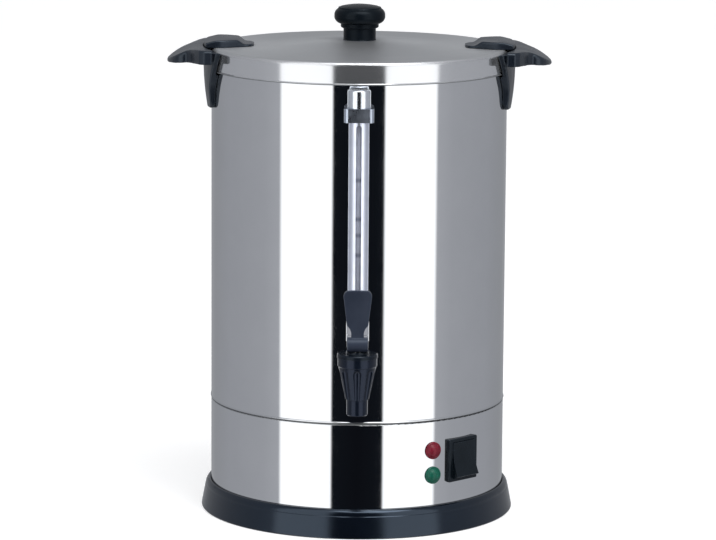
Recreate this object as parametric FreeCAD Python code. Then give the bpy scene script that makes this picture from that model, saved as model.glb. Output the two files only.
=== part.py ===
import FreeCAD, Part
import math
import os

from FreeCAD import Matrix, Vector

# Coffee urn, millimetres. +Z is up, the front with the tap faces -Y, and the origin is
# on the tank's axis at the surface that the urn stands on.

# Clearances
face_gap = 0.05
running_gap = 0.05
hole_gap = 0.2
seat_gap = 0.3
root_sink = 0.5

# Sheet metal body
body_radius = 132.5
sheet = 0.8
housing_height = 84.3
housing_flange = 5.0
housing_bend = 1.2
seam_height = 2.0
seam_proud = 0.6
floor_gap = 3.9
tank_depth = 310.5
rim_curl = 2.5
floor_corner = 9.0
well_radius = 33.0
well_depth = 13.2
well_bend = 3.0

# Base skirt
skirt_height = 25.2
skirt_flare = 8.7
skirt_taper = 3.4
skirt_wall = 3.0
skirt_shoulder_drop = 6.0
skirt_step = 0.4
skirt_gap = 0.6
skirt_lip = 1.3
skirt_edge = 1.5
skirt_land = 2.4
ledge_height = 17.0
ledge_plate = 2.4
ledge_width = 15.0
rib_count = 12
rib_thickness = 2.0
rib_inset = 2.0

# Bottom cover, feet and fixings in the base
foot_height = 3.2
rubber_foot_radius = 8.5
rubber_foot_edge = 1.0
rubber_foot_inset = 24.5
foot_stem_radius = 3.0
foot_barb = 1.0
foot_barb_height = 2.6
cover_inset = 2.5
press_inset = 28.0
press_width = 10.0
press_rise = 1.5
press_slope = 2.0
vent_count = 16
vent_width = 4.0
vent_length = 24.0
vent_margin = 8.0
boss_inset = 10.5
boss_radius = 4.0
cover_screw_radius = 1.45
cover_screw_depth = 9.0
cover_head_radius = 3.3
cover_head_height = 2.2
tie_rod_radius = 2.5
tie_rod_inset = 8.5
tie_rod_spare = 1.5
tie_nut_height = 4.0
tie_nut_flats = 8.0

# Lid
lid_clearance = 0.5
lid_skirt_drop = 20.2
lid_corner = 3.8
lid_hem = 0.4
dome_inset = 35.5
dome_rise = 5.8
dome_blend = 0.3
knob_land = 17.0

# Knob
knob_stem_radius = 14.5
knob_stem_height = 11.0
knob_foot_edge = 0.8
knob_collar_radius = 17.0
knob_collar_height = 3.6
knob_cap_radius = 22.8
knob_flare_height = 5.6
knob_side_height = 2.6
knob_disc_radius = 19.6
knob_shoulder_height = 5.2
knob_disc_height = 2.2
knob_crown = 1.8
knob_bore_depth = 11.0
knob_screw_radius = 2.0
knob_screw_spare = 0.8
knob_head_radius = 4.4
knob_head_height = 2.8
knob_washer_radius = 6.0
knob_washer_thickness = 1.0

# Lid ears
ear_reach_out = 6.8
ear_length = 44.8
ear_half_width = 28.0
ear_tongue_half = 15.5
ear_thickness = 6.6
ear_tongue_thickness = 2.3
ear_outer_thickness = 4.2
ear_round = 1.6
ear_stations = 22
ear_lip_depth = 8.0
ear_lip_half = 22.0
ear_lip_wall = 4.1
ear_lip_edge = 0.8
rivet_radius = 1.95
rivet_head_radius = 3.2
rivet_head_height = 1.2
rivet_depth = 4.0
rivet_spread = 15.0
rivet_inset = 9.5

# Side handles
grip_reach = 39.6
grip_rise = 1.7
grip_half_width = 32.9
grip_root_half = 58.0
grip_root_thickness = 12.5
grip_tip_thickness = 2.6
grip_tip_drop = 12.4
grip_edge_round = 3.0
grip_edge_share = 0.45
grip_hollow_round = 1.5
grip_hollow_start = 0.27
grip_hollow_end = 0.925
grip_end_share = 0.996
grip_root_sink = 0.06
grip_stations = 14
grip_wall = 3.4
grip_side_wall = 4.6
grip_web = 7.0
shield_height = 52.5
shield_drop = 0.5
shield_half_top = 58.0
shield_half_waist = 37.2
shield_half_low = 35.5
shield_waist_rise = 17.5
shield_corner_rise = 6.5
shield_corner_width = 7.5
shield_thick_top = 7.0
shield_thick_low = 3.4
handle_lid_gap = 0.6
handle_screw_radius = 2.5
handle_screw_drop = 33.5
handle_screw_spread = 25.0
handle_screw_depth = 4.4
screw_head_radius = 4.5
screw_head_height = 2.8
seal_radius = 6.0
seal_thickness = 1.0

# Sight gauge in front
gauge_reach = 13.5
gauge_glass_radius = 4.5
gauge_glass_wall = 1.3
glass_rise = 10.0
guard_radius = 8.85
guard_wall = 1.0
guard_slot = 4.8
guard_drop = 36.5
window_margin_low = 10.0
window_margin_high = 5.0
bush_height = 6.0
bush_gap = 0.5
gauge_cap_radius = 10.0
gauge_cap_height = 16.0
gauge_cap_round = 2.0
gauge_cap_headroom = 1.5
gauge_vent_radius = 0.9
bracket_half_width = 12.9
bracket_height = 12.0
bracket_corner = 4.0
bracket_front = 2.1
gauge_socket_radius = 9.9
gauge_socket_rise = 8.0
gauge_socket_height = 18.0
gauge_socket_shoulder = 12.0
gauge_socket_groove = 0.5
gauge_socket_edge = 0.6
upright_radius = 7.2
upright_grip = 8.0
glass_seat_rise = 2.0

# Tap in front
tap_reach = 45.5
tap_top = 170.0
tap_height = 50.5
tip_height = 14.5
tip_radius = 9.15
tip_edge = 0.7
cone_low_radius = 10.5
cone_top_radius = 16.3
collar_radius = 17.0
collar_height = 7.8
flute_count = 8
flute_low_radius = 3.1
flute_top_radius = 4.2
flute_proud = 1.95
flute_run = 2.0
flute_margin = 1.0
outlet_bore = 5.5
lower_chamber = 8.0
upper_chamber = 9.5
chamber_clear = 8.5
seat_clear = 2.5
shank_radius = 9.0
shank_bore = 5.5
shank_spare = 2.5
shank_flange_radius = 15.0
shank_flange = 4.0
gasket_thickness = 1.7
gasket_inset = 1.5
nut_thickness = 7.0
nut_flats = 26.0
bonnet_plug = 8.0
bonnet_radius = 17.5
bonnet_disc = 3.6
bonnet_edge = 0.8
bonnet_neck = 1.8
bonnet_neck_radius = 9.0
stem_radius = 2.5
stem_shoulder = 4.0
stem_shoulder_height = 1.0
stem_foot_rise = 3.0
stem_head_half = 2.0
stem_head_extra = 0.6
stem_head_rise = 3.4
cup_radius = 7.2
cup_height = 10.0
cup_edge = 1.0
cup_nose = 1.4
spring_radius = 5.0
spring_wire = 0.9
spring_turns = 4

# Lever
cam_radius = 6.5
cam_offset = 5.5
eye_radius = 4.4
pin_radius = 1.5
hub_half_width = 9.0
fork_gap = 0.2
lever_swing = 36.0
neck_half = 5.5
neck_thickness = 5.0
neck_length = 10.0
shoulder_length = 7.0
shoulder_half = 9.2
paddle_length = 24.0
paddle_half = 12.0
paddle_end = 7.6
paddle_end_round = 2.4
paddle_thickness = 4.6
paddle_edge = 3.4
paddle_lean = 12.0

# Lamps and switch, by the angle from the front towards +X
lamp_angle = 30.4
red_lamp_height = 74.6
green_lamp_height = 52.4
lens_radius = 7.7
lens_flange = 1.0
lens_edge = 0.5
lens_step = 1.1
lens_dome = 4.1
lamp_barrel = 5.9
lamp_length = 24.0
lamp_neck = 1.5
lamp_neck_length = 5.0
lamp_clip_radius = 8.5
lamp_clip_thickness = 1.6
switch_angle = 44.3
switch_height = 63.5
switch_half_width = 17.5
switch_half_height = 19.25
switch_proud = 2.9
switch_corner = 1.2
switch_wall = 1.6
switch_depth = 22.0
switch_floor = 4.0
rocker_half_width = 13.2
rocker_round = 16.2
rocker_tilt = 11.0
rocker_rise = 3.5
rocker_depth = 6.0
axle_radius = 1.5
pivot_depth = 2.0
blade_width = 4.8
blade_thickness = 0.8
blade_length = 9.0
blade_root = 2.4
blade_pitch_x = 6.5
blade_pitch_y = 11.0
blade_gap = 0.02

# Power inlet at the back
inlet_angle = 180.0
inlet_height = 58.0
inlet_half_width = 25.0
inlet_half_height = 13.0
inlet_corner = 5.0
inlet_proud = 4.1
inlet_back = 7.0
socket_half_width = 12.2
socket_half_height = 8.5
socket_chamfer = 4.5
socket_depth = 17.0
inlet_pin_pitch = 7.0
inlet_pin_rise = 2.0
inlet_pin_width = 2.0
inlet_pin_height = 4.0
inlet_pin_recess = 4.6
inlet_tail = 8.0
inlet_screw_pitch = 20.0
inlet_screw_radius = 1.5
inlet_screw_length = 10.0
inlet_head_radius = 3.0
inlet_head_height = 1.6

# Brew set
tube_radius = 5.0
tube_wall = 1.0
tube_drop = 6.5
tube_lift = 9.0
tube_bead = 2.5
tube_bead_height = 2.0
pump_rim_gap = 3.5
pump_wall = 1.0
pump_rim = 2.4
pump_cone = 4.0
pump_cone_height = 5.0
pump_bell_rise = 12.4
pump_bell_radius = 10.0
pump_neck_wall = 1.2
pump_neck_height = 8.0
pump_plate_lift = 2.9
pump_plate = 0.8
pump_hole_radius = 2.0
pump_hole_ring = 5.5
pump_notch_width = 8.0
pump_notch_height = 1.8
valve_radius = 9.0
valve_thickness = 1.0
valve_button = 2.0
valve_button_height = 1.2
basket_inset = 54.5
basket_depth = 78.0
basket_drop = 100.5
basket_bend = 3.0
basket_rim = 2.0
sleeve_gap = 0.3
sleeve_rise = 1.5
slit_width = 1.4
slit_length = 13.0
slit_margin = 8.0
slit_rings = 3
slit_step = 18.5
slits_per_ring = 12
spreader_hole = 3.2
spreader_slot = 2.0
spreader_hem = 2.5
spreader_bead = 3.2
spreader_bead_width = 6.0
spreader_collar = 5.0

# Heaters below the tank
heat_plate_gap = 3.2
heat_plate_outer = 66.0
heat_plate_thickness = 2.0
boil_inset = 9.0
boil_rod = 3.6
boil_opening = 16.0
warm_inset = 6.5
warm_rod = 2.6
warm_opening = 12.0
cold_leg = 14.0
cold_pin_radius = 1.6
cold_pin_length = 10.0
thermostat_radius = 12.0
thermostat_height = 9.0
thermostat_flange = 3.0
thermostat_step = 2.5
thermostat_gap = 14.0
cutout_half = 7.0
cutout_height = 13.0
cutout_button_radius = 2.2
cutout_button_height = 4.0
terminal_place = (-30.0, 40.0)
terminal_half_length = 21.0
terminal_half_width = 9.0
terminal_height = 15.0
terminal_pitch = 13.0
terminal_wall_half = 3.0
terminal_wall_height = 3.0
terminal_wire_radius = 2.2
terminal_wire_height = 6.0
terminal_screw_radius = 2.4

# Heights, from the table up
housing_top = ledge_height + housing_height
seam_top = housing_top + seam_height
floor_under = seam_top + floor_gap
floor_top = floor_under + sheet
rim_top = floor_top + tank_depth
well_floor = floor_top - well_depth
plate_low = ledge_height - ledge_plate
cover_top = foot_height + sheet
lid_ring = rim_top + seat_gap + sheet
lid_low = lid_ring - lid_skirt_drop
lid_crown = lid_ring + dome_rise
ear_under = lid_ring + face_gap
handle_top = rim_top + grip_rise
shield_top = rim_top - shield_drop
shield_low = shield_top - shield_height
handle_screw_height = rim_top - handle_screw_drop
guard_top = rim_top - guard_drop
tube_top = rim_top - tube_drop
basket_low = rim_top - basket_drop
basket_top = basket_low + basket_depth
tap_bottom = tap_top - tap_height
plug_low = tap_top - bonnet_plug
shank_height = plug_low - chamber_clear - shank_bore
seat_height = shank_height - shank_bore - seat_clear
bonnet_top = tap_top + bonnet_disc + bonnet_neck
pin_height = bonnet_top + cam_radius + face_gap
gauge_socket_low = tap_top + gauge_socket_rise
gauge_socket_top = gauge_socket_low + gauge_socket_height
glass_low = tap_top + glass_seat_rise
glass_top = guard_top + glass_rise
neck_top = pin_height + neck_length
paddle_low = neck_top + shoulder_length
paddle_wide = paddle_low + paddle_length
lever_top = paddle_wide + paddle_end

# Radii and reaches, from the tank's axis out
inner_radius = body_radius - sheet
skirt_foot_radius = body_radius + skirt_flare
cover_radius = body_radius - cover_inset
boss_reach = body_radius - boss_inset
tie_rod_reach = body_radius - tie_rod_inset
rubber_foot_reach = body_radius - rubber_foot_inset
lid_inner = body_radius + lid_clearance
lid_outer = lid_inner + sheet
relief_radius = lid_outer + lid_hem + handle_lid_gap
ear_reach = body_radius + ear_reach_out
ear_inner = ear_reach - ear_length
rivet_reach = body_radius - rivet_inset
saddle_radius = ear_reach + handle_lid_gap
gauge_offset = body_radius + gauge_reach
tap_offset = body_radius + tap_reach
basket_radius = body_radius - basket_inset
foot_radius = well_radius - pump_rim_gap
heat_plate_inner = well_radius + sheet + heat_plate_gap
thermostat_reach = heat_plate_outer + thermostat_radius + thermostat_gap

# Spherical crown of the lid and the hollow curve by which it runs out into the flat ring
dome_radius = body_radius - dome_inset
dome_slope = 2 * math.degrees(math.atan(dome_rise / dome_radius))
dome_reach = dome_radius / math.sin(math.radians(dome_slope))
dome_ball = (1 - dome_blend) * dome_reach
dome_hollow = dome_blend * dome_reach
knob_seat = lid_crown - dome_ball + math.sqrt(dome_ball ** 2 - knob_land ** 2)


def point(plane, a, b):
    if plane == "rz" or plane == "xz":
        return Vector(a, 0, b)
    if plane == "yz":
        return Vector(0, a, b)
    return Vector(a, b, 0)


def outline(plane, start, *steps):
    """Closed wire. A step is a point, reached by a line, or a pair of points, reached by an arc."""
    edges = []
    here = point(plane, *start)
    for step in steps + (start,):
        if isinstance(step[0], tuple):
            middle = point(plane, *step[0])
            there = point(plane, *step[1])
            edges.append(Part.Arc(here, middle, there).toShape())
        else:
            there = point(plane, *step)
            if there.distanceToPoint(here) < 1e-6:
                continue
            edges.append(Part.LineSegment(here, there).toShape())
        here = there
    return Part.Wire(edges)


def between(a, b, across, up):
    """Point at its own share of the way from a to b in each direction."""
    return (a[0] + across * (b[0] - a[0]), a[1] + up * (b[1] - a[1]))


def turn(centre, radius, start, end):
    """First point and arc of a round corner about a centre, by angles in degrees from the level."""

    def at(angle):
        turned = math.radians(angle)
        return (centre[0] + radius * math.cos(turned), centre[1] + radius * math.sin(turned))

    return [at(start), (at((start + end) / 2), at(end))]


def eased(before, corner, after, share):
    """First point and arc that round off the corner between two straight stretches."""
    start = between(corner, before, share, share)
    end = between(corner, after, share, share)
    middle = between(between(start, end, 0.5, 0.5), corner, 0.5, 0.5)
    return [start, (middle, end)]


def cap(radius, low, high):
    """Arc from a radius at one height to the axis at another, as part of a sphere on the axis."""
    rise = high - low
    ball = (radius ** 2 + rise ** 2) / (2 * rise)
    half = math.asin(radius / ball) / 2
    return ((ball * math.sin(half), high - ball * (1 - math.cos(half))), (0, high))


def swept(start, end, share):
    """Value on the way from start to end, with a soft beginning and a soft stop."""
    share = min(1.0, max(0.0, share))
    return start + (end - start) * share * share * (3 - 2 * share)


def spin(start, *steps):
    """Solid of revolution about +Z from a profile of radius and height."""
    face = Part.Face(outline("rz", start, *steps))
    return face.revolve(Vector(0, 0, 0), Vector(0, 0, 1), 360)


def prism(wire, direction):
    return Part.Face(wire).extrude(direction)


def rod(radius, low, high, x=0.0, y=0.0):
    """Upright cylinder between two heights."""
    return Part.makeCylinder(radius, high - low, Vector(x, y, low))


def along_y(radius, y0, y1, height, x=0.0):
    """Level cylinder from front to back."""
    return Part.makeCylinder(radius, y1 - y0, Vector(x, y0, height), Vector(0, 1, 0))


def along_x(radius, half, y, height):
    """Level cylinder from side to side."""
    return Part.makeCylinder(radius, 2 * half, Vector(-half, y, height), Vector(1, 0, 0))


def block(x0, x1, y0, y1, z0, z1):
    return Part.makeBox(x1 - x0, y1 - y0, z1 - z0, Vector(x0, y0, z0))


def plate(half_x, half_y, z0, z1):
    """Block with its middle on the Z axis."""
    return block(-half_x, half_x, -half_y, half_y, z0, z1)


def section(x, half, low, high, edge):
    """Upright section across the X axis, with round upper corners."""
    wire = outline(
        "yz",
        (half, low),
        *turn((half - edge, high - edge), edge, 0, 90),
        *turn((edge - half, high - edge), edge, 90, 180),
        (-half, low),
    )
    wire.translate(Vector(x, 0, 0))
    return wire


def around(shape, angle):
    """The shape turned about the urn's axis, by an angle from the front towards +X."""
    turned = shape.copy()
    turned.rotate(Vector(0, 0, 0), Vector(0, 0, 1), angle)
    return turned


def ring_of(shape, angles):
    """Copies of the shape about the urn's axis."""
    return [around(shape, angle) for angle in angles]


def even_angles(count, first=0.0):
    return [360 / count * (i + first) for i in range(count)]


def moved(shape, x, y, z=0.0):
    shape = shape.copy()
    shape.translate(Vector(x, y, z))
    return shape


def mounted(shape, angle, height):
    """A piece made with its own +Z pointing out of the wall and +Y up, placed at an angle and height."""
    outward = Vector(math.sin(math.radians(angle)), -math.cos(math.radians(angle)), 0)
    sideways = Vector(math.cos(math.radians(angle)), math.sin(math.radians(angle)), 0)
    up = Vector(0, 0, 1)
    matrix = Matrix(
        sideways.x, up.x, outward.x, 0,
        sideways.y, up.y, outward.y, 0,
        sideways.z, up.z, outward.z, height,
        0, 0, 0, 1,
    )
    placed = shape.copy()
    placed.transformShape(matrix)
    return placed


def mirrored(shape):
    """The same piece on the other side of the urn."""
    return shape.mirror(Vector(0, 0, 0), Vector(1, 0, 0))


def hex_prism(flats, height, low):
    corner = flats / math.sqrt(3)
    angles = [math.radians(angle) for angle in even_angles(6)]
    corners = [(corner * math.cos(angle), corner * math.sin(angle)) for angle in angles]
    return moved(prism(outline("xy", *corners), Vector(0, 0, height)), 0, 0, low)


def fused(first, *others):
    return first.fuse(list(others)).removeSplitter()


def group(solids):
    return Part.Compound(list(solids))


def save(name, shape):
    shape.exportStep("parts/" + name + ".step")


def tank():
    """Wall, curled rim, floor with its pump well and the rolled seam, as one welded piece."""
    bend = well_bend
    corner = floor_corner
    roll = (body_radius - rim_curl, rim_top - rim_curl)
    curl_inside = body_radius - 2 * rim_curl
    bevel = rim_curl / 3
    shell = spin(
        (0, well_floor),
        (well_radius - bend, well_floor),
        (well_radius, well_floor + bend),
        (well_radius, floor_top - bend),
        (well_radius + bend, floor_top),
        *turn((inner_radius - corner, floor_top + corner), corner, -90, 0),
        *turn(roll, rim_curl - sheet, 0, 90),
        (curl_inside + sheet + bevel, rim_top - sheet),
        (curl_inside + sheet, rim_top - sheet - bevel),
        (curl_inside + sheet, roll[1] - bevel),
        (curl_inside, roll[1] - bevel),
        (curl_inside, rim_top - 2 * bevel),
        (curl_inside + 2 * bevel, rim_top),
        *turn(roll, rim_curl, 90, 0),
        (body_radius, seam_top),
        ((body_radius + seam_proud, housing_top + seam_height / 2), (body_radius, housing_top)),
        (body_radius - 2 * sheet, housing_top),
        (body_radius - 2 * sheet, floor_under),
        (well_radius + bend, floor_under),
        (well_radius + sheet, floor_under - bend + sheet / 2),
        (well_radius + sheet, well_floor + bend - sheet / 2),
        (well_radius - bend + sheet / 2, well_floor - sheet),
        (0, well_floor - sheet),
    )
    shank_hole = along_y(shank_radius + seat_gap, -body_radius - sheet, -inner_radius + sheet, shank_height)
    start = inner_radius - sheet
    screw_holes = [
        handle_screw_line(handle_screw_radius + seat_gap, start, 3 * sheet, side, place)
        for side, place in handle_places()
    ]
    return shell.cut([shank_hole] + screw_holes)


def handle_places():
    """Side of the urn and sideways place of each handle screw."""
    return [(side, place) for side in (1, -1) for place in (1, -1)]


def handle_screw_line(radius, start, length, side, place):
    """Cylinder square to the wall at one handle screw."""
    lean = math.asin(place * handle_screw_spread / body_radius)
    direction = Vector(side * math.cos(lean), math.sin(lean), 0)
    foot = direction * start + Vector(0, 0, handle_screw_height)
    return Part.makeCylinder(radius, length, foot, direction)


def lower_housing():
    """Steel ring below the tank, with an inward flange under the seam and openings for what it carries."""
    bend = housing_bend
    centre = (body_radius - bend, housing_top - bend)
    ring = spin(
        (body_radius, ledge_height),
        *turn(centre, bend, 0, 90),
        (body_radius - housing_flange, housing_top),
        (body_radius - housing_flange, housing_top - sheet),
        *turn(centre, bend - sheet, 90, 0),
        (inner_radius, ledge_height),
    )
    start = body_radius - lens_radius
    end = body_radius + lens_radius
    lamp_hole = rod(lamp_barrel + seat_gap, start, end)
    rocker_gap = switch_wall + 2 * seat_gap + running_gap
    switch_hole = plate(rocker_half_width + rocker_gap, rocker_round + rocker_gap, start - switch_depth, end)
    socket_gap = switch_wall + seat_gap
    inlet_hole = plate(socket_half_width + socket_gap, socket_half_height + socket_gap, start, end)
    screw_hole = rod(inlet_screw_radius + hole_gap, start, end)
    cuts = [
        mounted(lamp_hole, lamp_angle, red_lamp_height),
        mounted(lamp_hole, lamp_angle, green_lamp_height),
        mounted(switch_hole, switch_angle, switch_height),
        mounted(inlet_hole, inlet_angle, inlet_height),
    ]
    for side in (1, -1):
        cuts.append(mounted(moved(screw_hole, side * inlet_screw_pitch, 0), inlet_angle, inlet_height))
    return ring.cut(cuts)


def base_skirt():
    """Moulded base ring: flared wall, rounded shoulder, inner ledge for the housing, ribs and bosses."""
    foot = skirt_foot_radius
    edge = skirt_edge
    inner = body_radius + skirt_gap
    shoulder = foot - skirt_taper
    shoulder_low = skirt_height - skirt_shoulder_drop
    ledge_inner = body_radius - ledge_width
    crown_from = (shoulder - skirt_step, shoulder_low + skirt_step)
    crown_to = (inner + skirt_lip, skirt_height)
    ring = spin(
        (foot - edge - skirt_land, 0),
        *turn((foot - edge, edge), edge, -90, 0),
        (shoulder, shoulder_low),
        crown_from,
        (between(crown_from, crown_to, 0.31, 0.66), crown_to),
        (inner, skirt_height),
        (inner, ledge_height),
        (ledge_inner, ledge_height),
        (ledge_inner, plate_low),
        (shoulder - skirt_wall, plate_low),
    )
    rib_low = cover_top + rib_inset
    rib = prism(
        outline(
            "xz",
            (ledge_inner + rib_inset, plate_low + root_sink),
            (ledge_inner + rib_inset, plate_low - rib_inset),
            (shoulder - skirt_wall, rib_low),
            (shoulder - root_sink, rib_low),
            (shoulder - skirt_wall / 2, plate_low + root_sink),
        ),
        Vector(0, rib_thickness, 0),
    )
    ribs = ring_of(moved(rib, 0, -rib_thickness / 2), even_angles(rib_count, 0.25))
    boss = rod(boss_radius, cover_top, plate_low + root_sink, 0, -boss_reach)
    bosses = ring_of(boss, boss_angles())
    bore = rod(cover_screw_radius + running_gap, 0, cover_top + cover_screw_depth + root_sink, 0, -boss_reach)
    tie_hole = rod(tie_rod_radius + seat_gap, 0, ledge_height + ledge_plate, 0, -tie_rod_reach)
    holes = ring_of(bore, boss_angles()) + ring_of(tie_hole, tie_angles())
    return fused(ring, *ribs, *bosses).cut(holes)


def boss_angles():
    return even_angles(4, 0.5)


def tie_angles():
    return even_angles(3)


def foot_angles():
    return even_angles(4)


def bottom_cover():
    """Steel plate inside the skirt, with vent slots, a pressed ring and holes for feet and screws."""
    outer = cover_radius - press_inset
    inner = outer - press_width
    lean = 0.4 * sheet
    disc = spin(
        (0, cover_top),
        (inner, cover_top),
        (inner + press_slope, cover_top + press_rise),
        (outer - press_slope, cover_top + press_rise),
        (outer, cover_top),
        (cover_radius, cover_top),
        (cover_radius, foot_height),
        (outer - lean, foot_height),
        (outer - press_slope - lean, foot_height + press_rise),
        (inner + press_slope + lean, foot_height + press_rise),
        (inner + lean, foot_height),
        (0, foot_height),
    )
    vent_end = inner - vent_margin
    half = vent_width / 2
    vent = block(-half, half, -vent_end, -vent_end + vent_length, 0, 2 * cover_top)
    foot_hole = rod(foot_stem_radius + running_gap, 0, 2 * cover_top, 0, -rubber_foot_reach)
    screw_hole = rod(cover_screw_radius + hole_gap, 0, 2 * cover_top, 0, -boss_reach)
    cuts = ring_of(vent, even_angles(vent_count, 0.5))
    cuts += ring_of(foot_hole, foot_angles())
    cuts += ring_of(screw_hole, boss_angles())
    return disc.cut(cuts)


def feet():
    """Rubber feet with a barbed stem pushed through the bottom cover."""
    edge = rubber_foot_edge
    barb = foot_stem_radius + foot_barb
    foot = spin(
        (0, 0),
        (rubber_foot_radius - edge, 0),
        (rubber_foot_radius, edge),
        (rubber_foot_radius - edge, foot_height),
        (foot_stem_radius, foot_height),
        (foot_stem_radius, cover_top),
        (barb, cover_top),
        (0.6 * barb, cover_top + foot_barb_height),
        (0, cover_top + foot_barb_height),
    )
    return group(ring_of(moved(foot, 0, -rubber_foot_reach), foot_angles()))


def cover_screws():
    """Pan head screws up into the skirt's bosses."""
    head = foot_height - cover_head_height
    tip = cover_top + cover_screw_depth
    screw = spin(
        (0, head),
        (cover_head_radius * 0.66, head),
        (cover_head_radius, head + cover_head_height / 2),
        (cover_head_radius, foot_height),
        (cover_screw_radius, foot_height),
        (cover_screw_radius, tip - cover_screw_radius),
        (0, tip),
    )
    return group(ring_of(moved(screw, 0, -boss_reach), boss_angles()))


def tie_rods():
    low = plate_low - tie_nut_height - tie_rod_spare
    return group(ring_of(rod(tie_rod_radius, low, floor_under, 0, -tie_rod_reach), tie_angles()))


def tie_nuts():
    low = plate_low - tie_nut_height
    hole = rod(tie_rod_radius + running_gap, 0, ledge_height)
    nut = hex_prism(tie_nut_flats, tie_nut_height, low).cut(hole)
    return group(ring_of(moved(nut, 0, -tie_rod_reach), tie_angles()))


def dome(inset):
    """Profile of the lid's crown from the flat ring in to the knob's land, lowered by an inset."""
    land_angle = math.degrees(math.asin(knob_land / dome_ball))
    foot = turn(
        (dome_radius, lid_ring + dome_hollow), dome_hollow + inset, -90, -90 - dome_slope
    )
    crown = turn(
        (0, lid_crown - dome_ball), dome_ball - inset, 90 - dome_slope, 90 - land_angle
    )
    return foot + crown[1:] + [(0, knob_seat - inset)]


def lid():
    """Pressed lid: crowned dome, flat ring, rounded corner and skirt with a hem."""
    corner = (lid_outer - lid_corner, lid_ring - lid_corner)
    outer = spin(
        (0, lid_low),
        (lid_outer, lid_low),
        (lid_outer + lid_hem, lid_low + lid_hem),
        (lid_outer + lid_hem, lid_low + 3 * lid_hem),
        (lid_outer, lid_low + 4 * lid_hem),
        *turn(corner, lid_corner, 0, 90),
        *dome(0),
    )
    inner = spin(
        (0, lid_low - sheet),
        (lid_inner, lid_low - sheet),
        *turn(corner, lid_corner - sheet, 0, 90),
        *dome(sheet),
    )
    holes = [rod(knob_screw_radius + seat_gap, lid_low, 2 * lid_crown)]
    rivet_hole = rod(rivet_radius + hole_gap, lid_low, 2 * lid_crown)
    holes += [moved(rivet_hole, x, y) for x, y in rivet_places()]
    return outer.cut([inner] + holes)


def rivet_places():
    return [(side * rivet_reach, place * rivet_spread) for side in (1, -1) for place in (1, -1)]


def lid_knob():
    """Knob with a straight stem, a collar, a flared cap and a raised disc on top."""
    collar_low = knob_seat + knob_stem_height
    flare_low = collar_low + knob_collar_height
    side_low = flare_low + knob_flare_height
    side_high = side_low + knob_side_height
    disc_low = side_high + knob_shoulder_height
    disc_high = disc_low + knob_disc_height
    flare_from = (knob_collar_radius, flare_low)
    flare_to = (knob_cap_radius, side_low)
    shoulder_from = (knob_cap_radius, side_high)
    shoulder_to = (knob_disc_radius, disc_low)
    crown_edge = knob_disc_radius - 1.5 * knob_disc_height
    bore = knob_screw_radius + running_gap
    return spin(
        (bore, knob_seat),
        (knob_stem_radius + knob_foot_edge / 2, knob_seat),
        (knob_stem_radius, knob_seat + knob_foot_edge),
        (knob_stem_radius, collar_low - knob_foot_edge),
        (knob_collar_radius - knob_foot_edge, collar_low),
        (knob_collar_radius, collar_low + knob_foot_edge),
        flare_from,
        (between(flare_from, flare_to, 0.62, 0.3), flare_to),
        shoulder_from,
        (between(shoulder_from, shoulder_to, 0.32, 0.6), shoulder_to),
        (knob_disc_radius - 0.3 * knob_disc_height, disc_low + 0.6 * knob_disc_height),
        (crown_edge, disc_high),
        cap(crown_edge, disc_high, disc_high + knob_crown),
        (0, knob_seat + knob_bore_depth),
        (bore, knob_seat + knob_bore_depth),
    )


def knob_washer():
    high = knob_seat - sheet - face_gap
    disc = rod(knob_washer_radius, high - knob_washer_thickness, high)
    return disc.cut(rod(knob_screw_radius + hole_gap, lid_low, lid_crown))


def knob_screw():
    high = knob_seat - sheet - face_gap - knob_washer_thickness
    tip = knob_seat + knob_bore_depth - knob_screw_spare
    return spin(
        (0, high - knob_head_height),
        (knob_head_radius * 0.73, high - knob_head_height),
        (knob_head_radius, high - knob_head_height / 2),
        (knob_head_radius, high),
        (knob_screw_radius, high),
        (knob_screw_radius, tip - root_sink),
        (0, tip),
    )


def ear_section(share):
    """Section of the ear at a share of the way from its inner tip to its outer edge."""
    nose = min(1.0, share / 0.12)
    half = swept(ear_tongue_half, ear_half_width, share / 0.7) * math.sqrt(1 - 0.75 * (1 - nose) ** 2)
    step = swept(ear_tongue_thickness, ear_thickness, (share - 0.16) / 0.18)
    thickness = step - swept(0, ear_thickness - ear_outer_thickness, (share - 0.7) / 0.3)
    x = ear_inner + share * ear_length
    return section(x, half, ear_under, ear_under + thickness, min(ear_round, 0.6 * thickness))


def lid_ear():
    """Moulded ear on the lid's right: thin tongue, raised plate and a lip that keys into the handle."""
    shares = [i / ear_stations for i in range(ear_stations + 2)]
    body = Part.makeLoft([ear_section(share) for share in shares], True, True)
    body = body.common(rod(ear_reach, ear_under, 2 * ear_under))
    lip_inner = ear_reach - ear_lip_wall
    lip_low = ear_under - ear_lip_depth
    lip = spin(
        (lip_inner, ear_under + root_sink),
        (ear_reach, ear_under + root_sink),
        (ear_reach, lip_low + ear_lip_edge),
        (ear_reach - ear_lip_edge, lip_low),
        (lip_inner, lip_low),
    )
    lip = lip.common(block(0, 2 * ear_reach, -ear_lip_half, ear_lip_half, 0, 2 * ear_under))
    hole = rod(rivet_radius + running_gap, ear_under - sheet, ear_under + rivet_depth, rivet_reach, 0)
    holes = [moved(hole, 0, side * rivet_spread) for side in (1, -1)]
    return fused(body, lip).cut(holes)


def ear_rivets():
    head_top = lid_ring - sheet - face_gap
    tip = ear_under + rivet_depth - 2 * hole_gap
    rivet = spin(
        (0, head_top - rivet_head_height),
        (rivet_head_radius * 0.8, head_top - rivet_head_height),
        (rivet_head_radius, head_top),
        (rivet_radius, head_top),
        (rivet_radius, tip),
        (0, tip),
    )
    return group(moved(rivet, x, y) for x, y in rivet_places())


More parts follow.
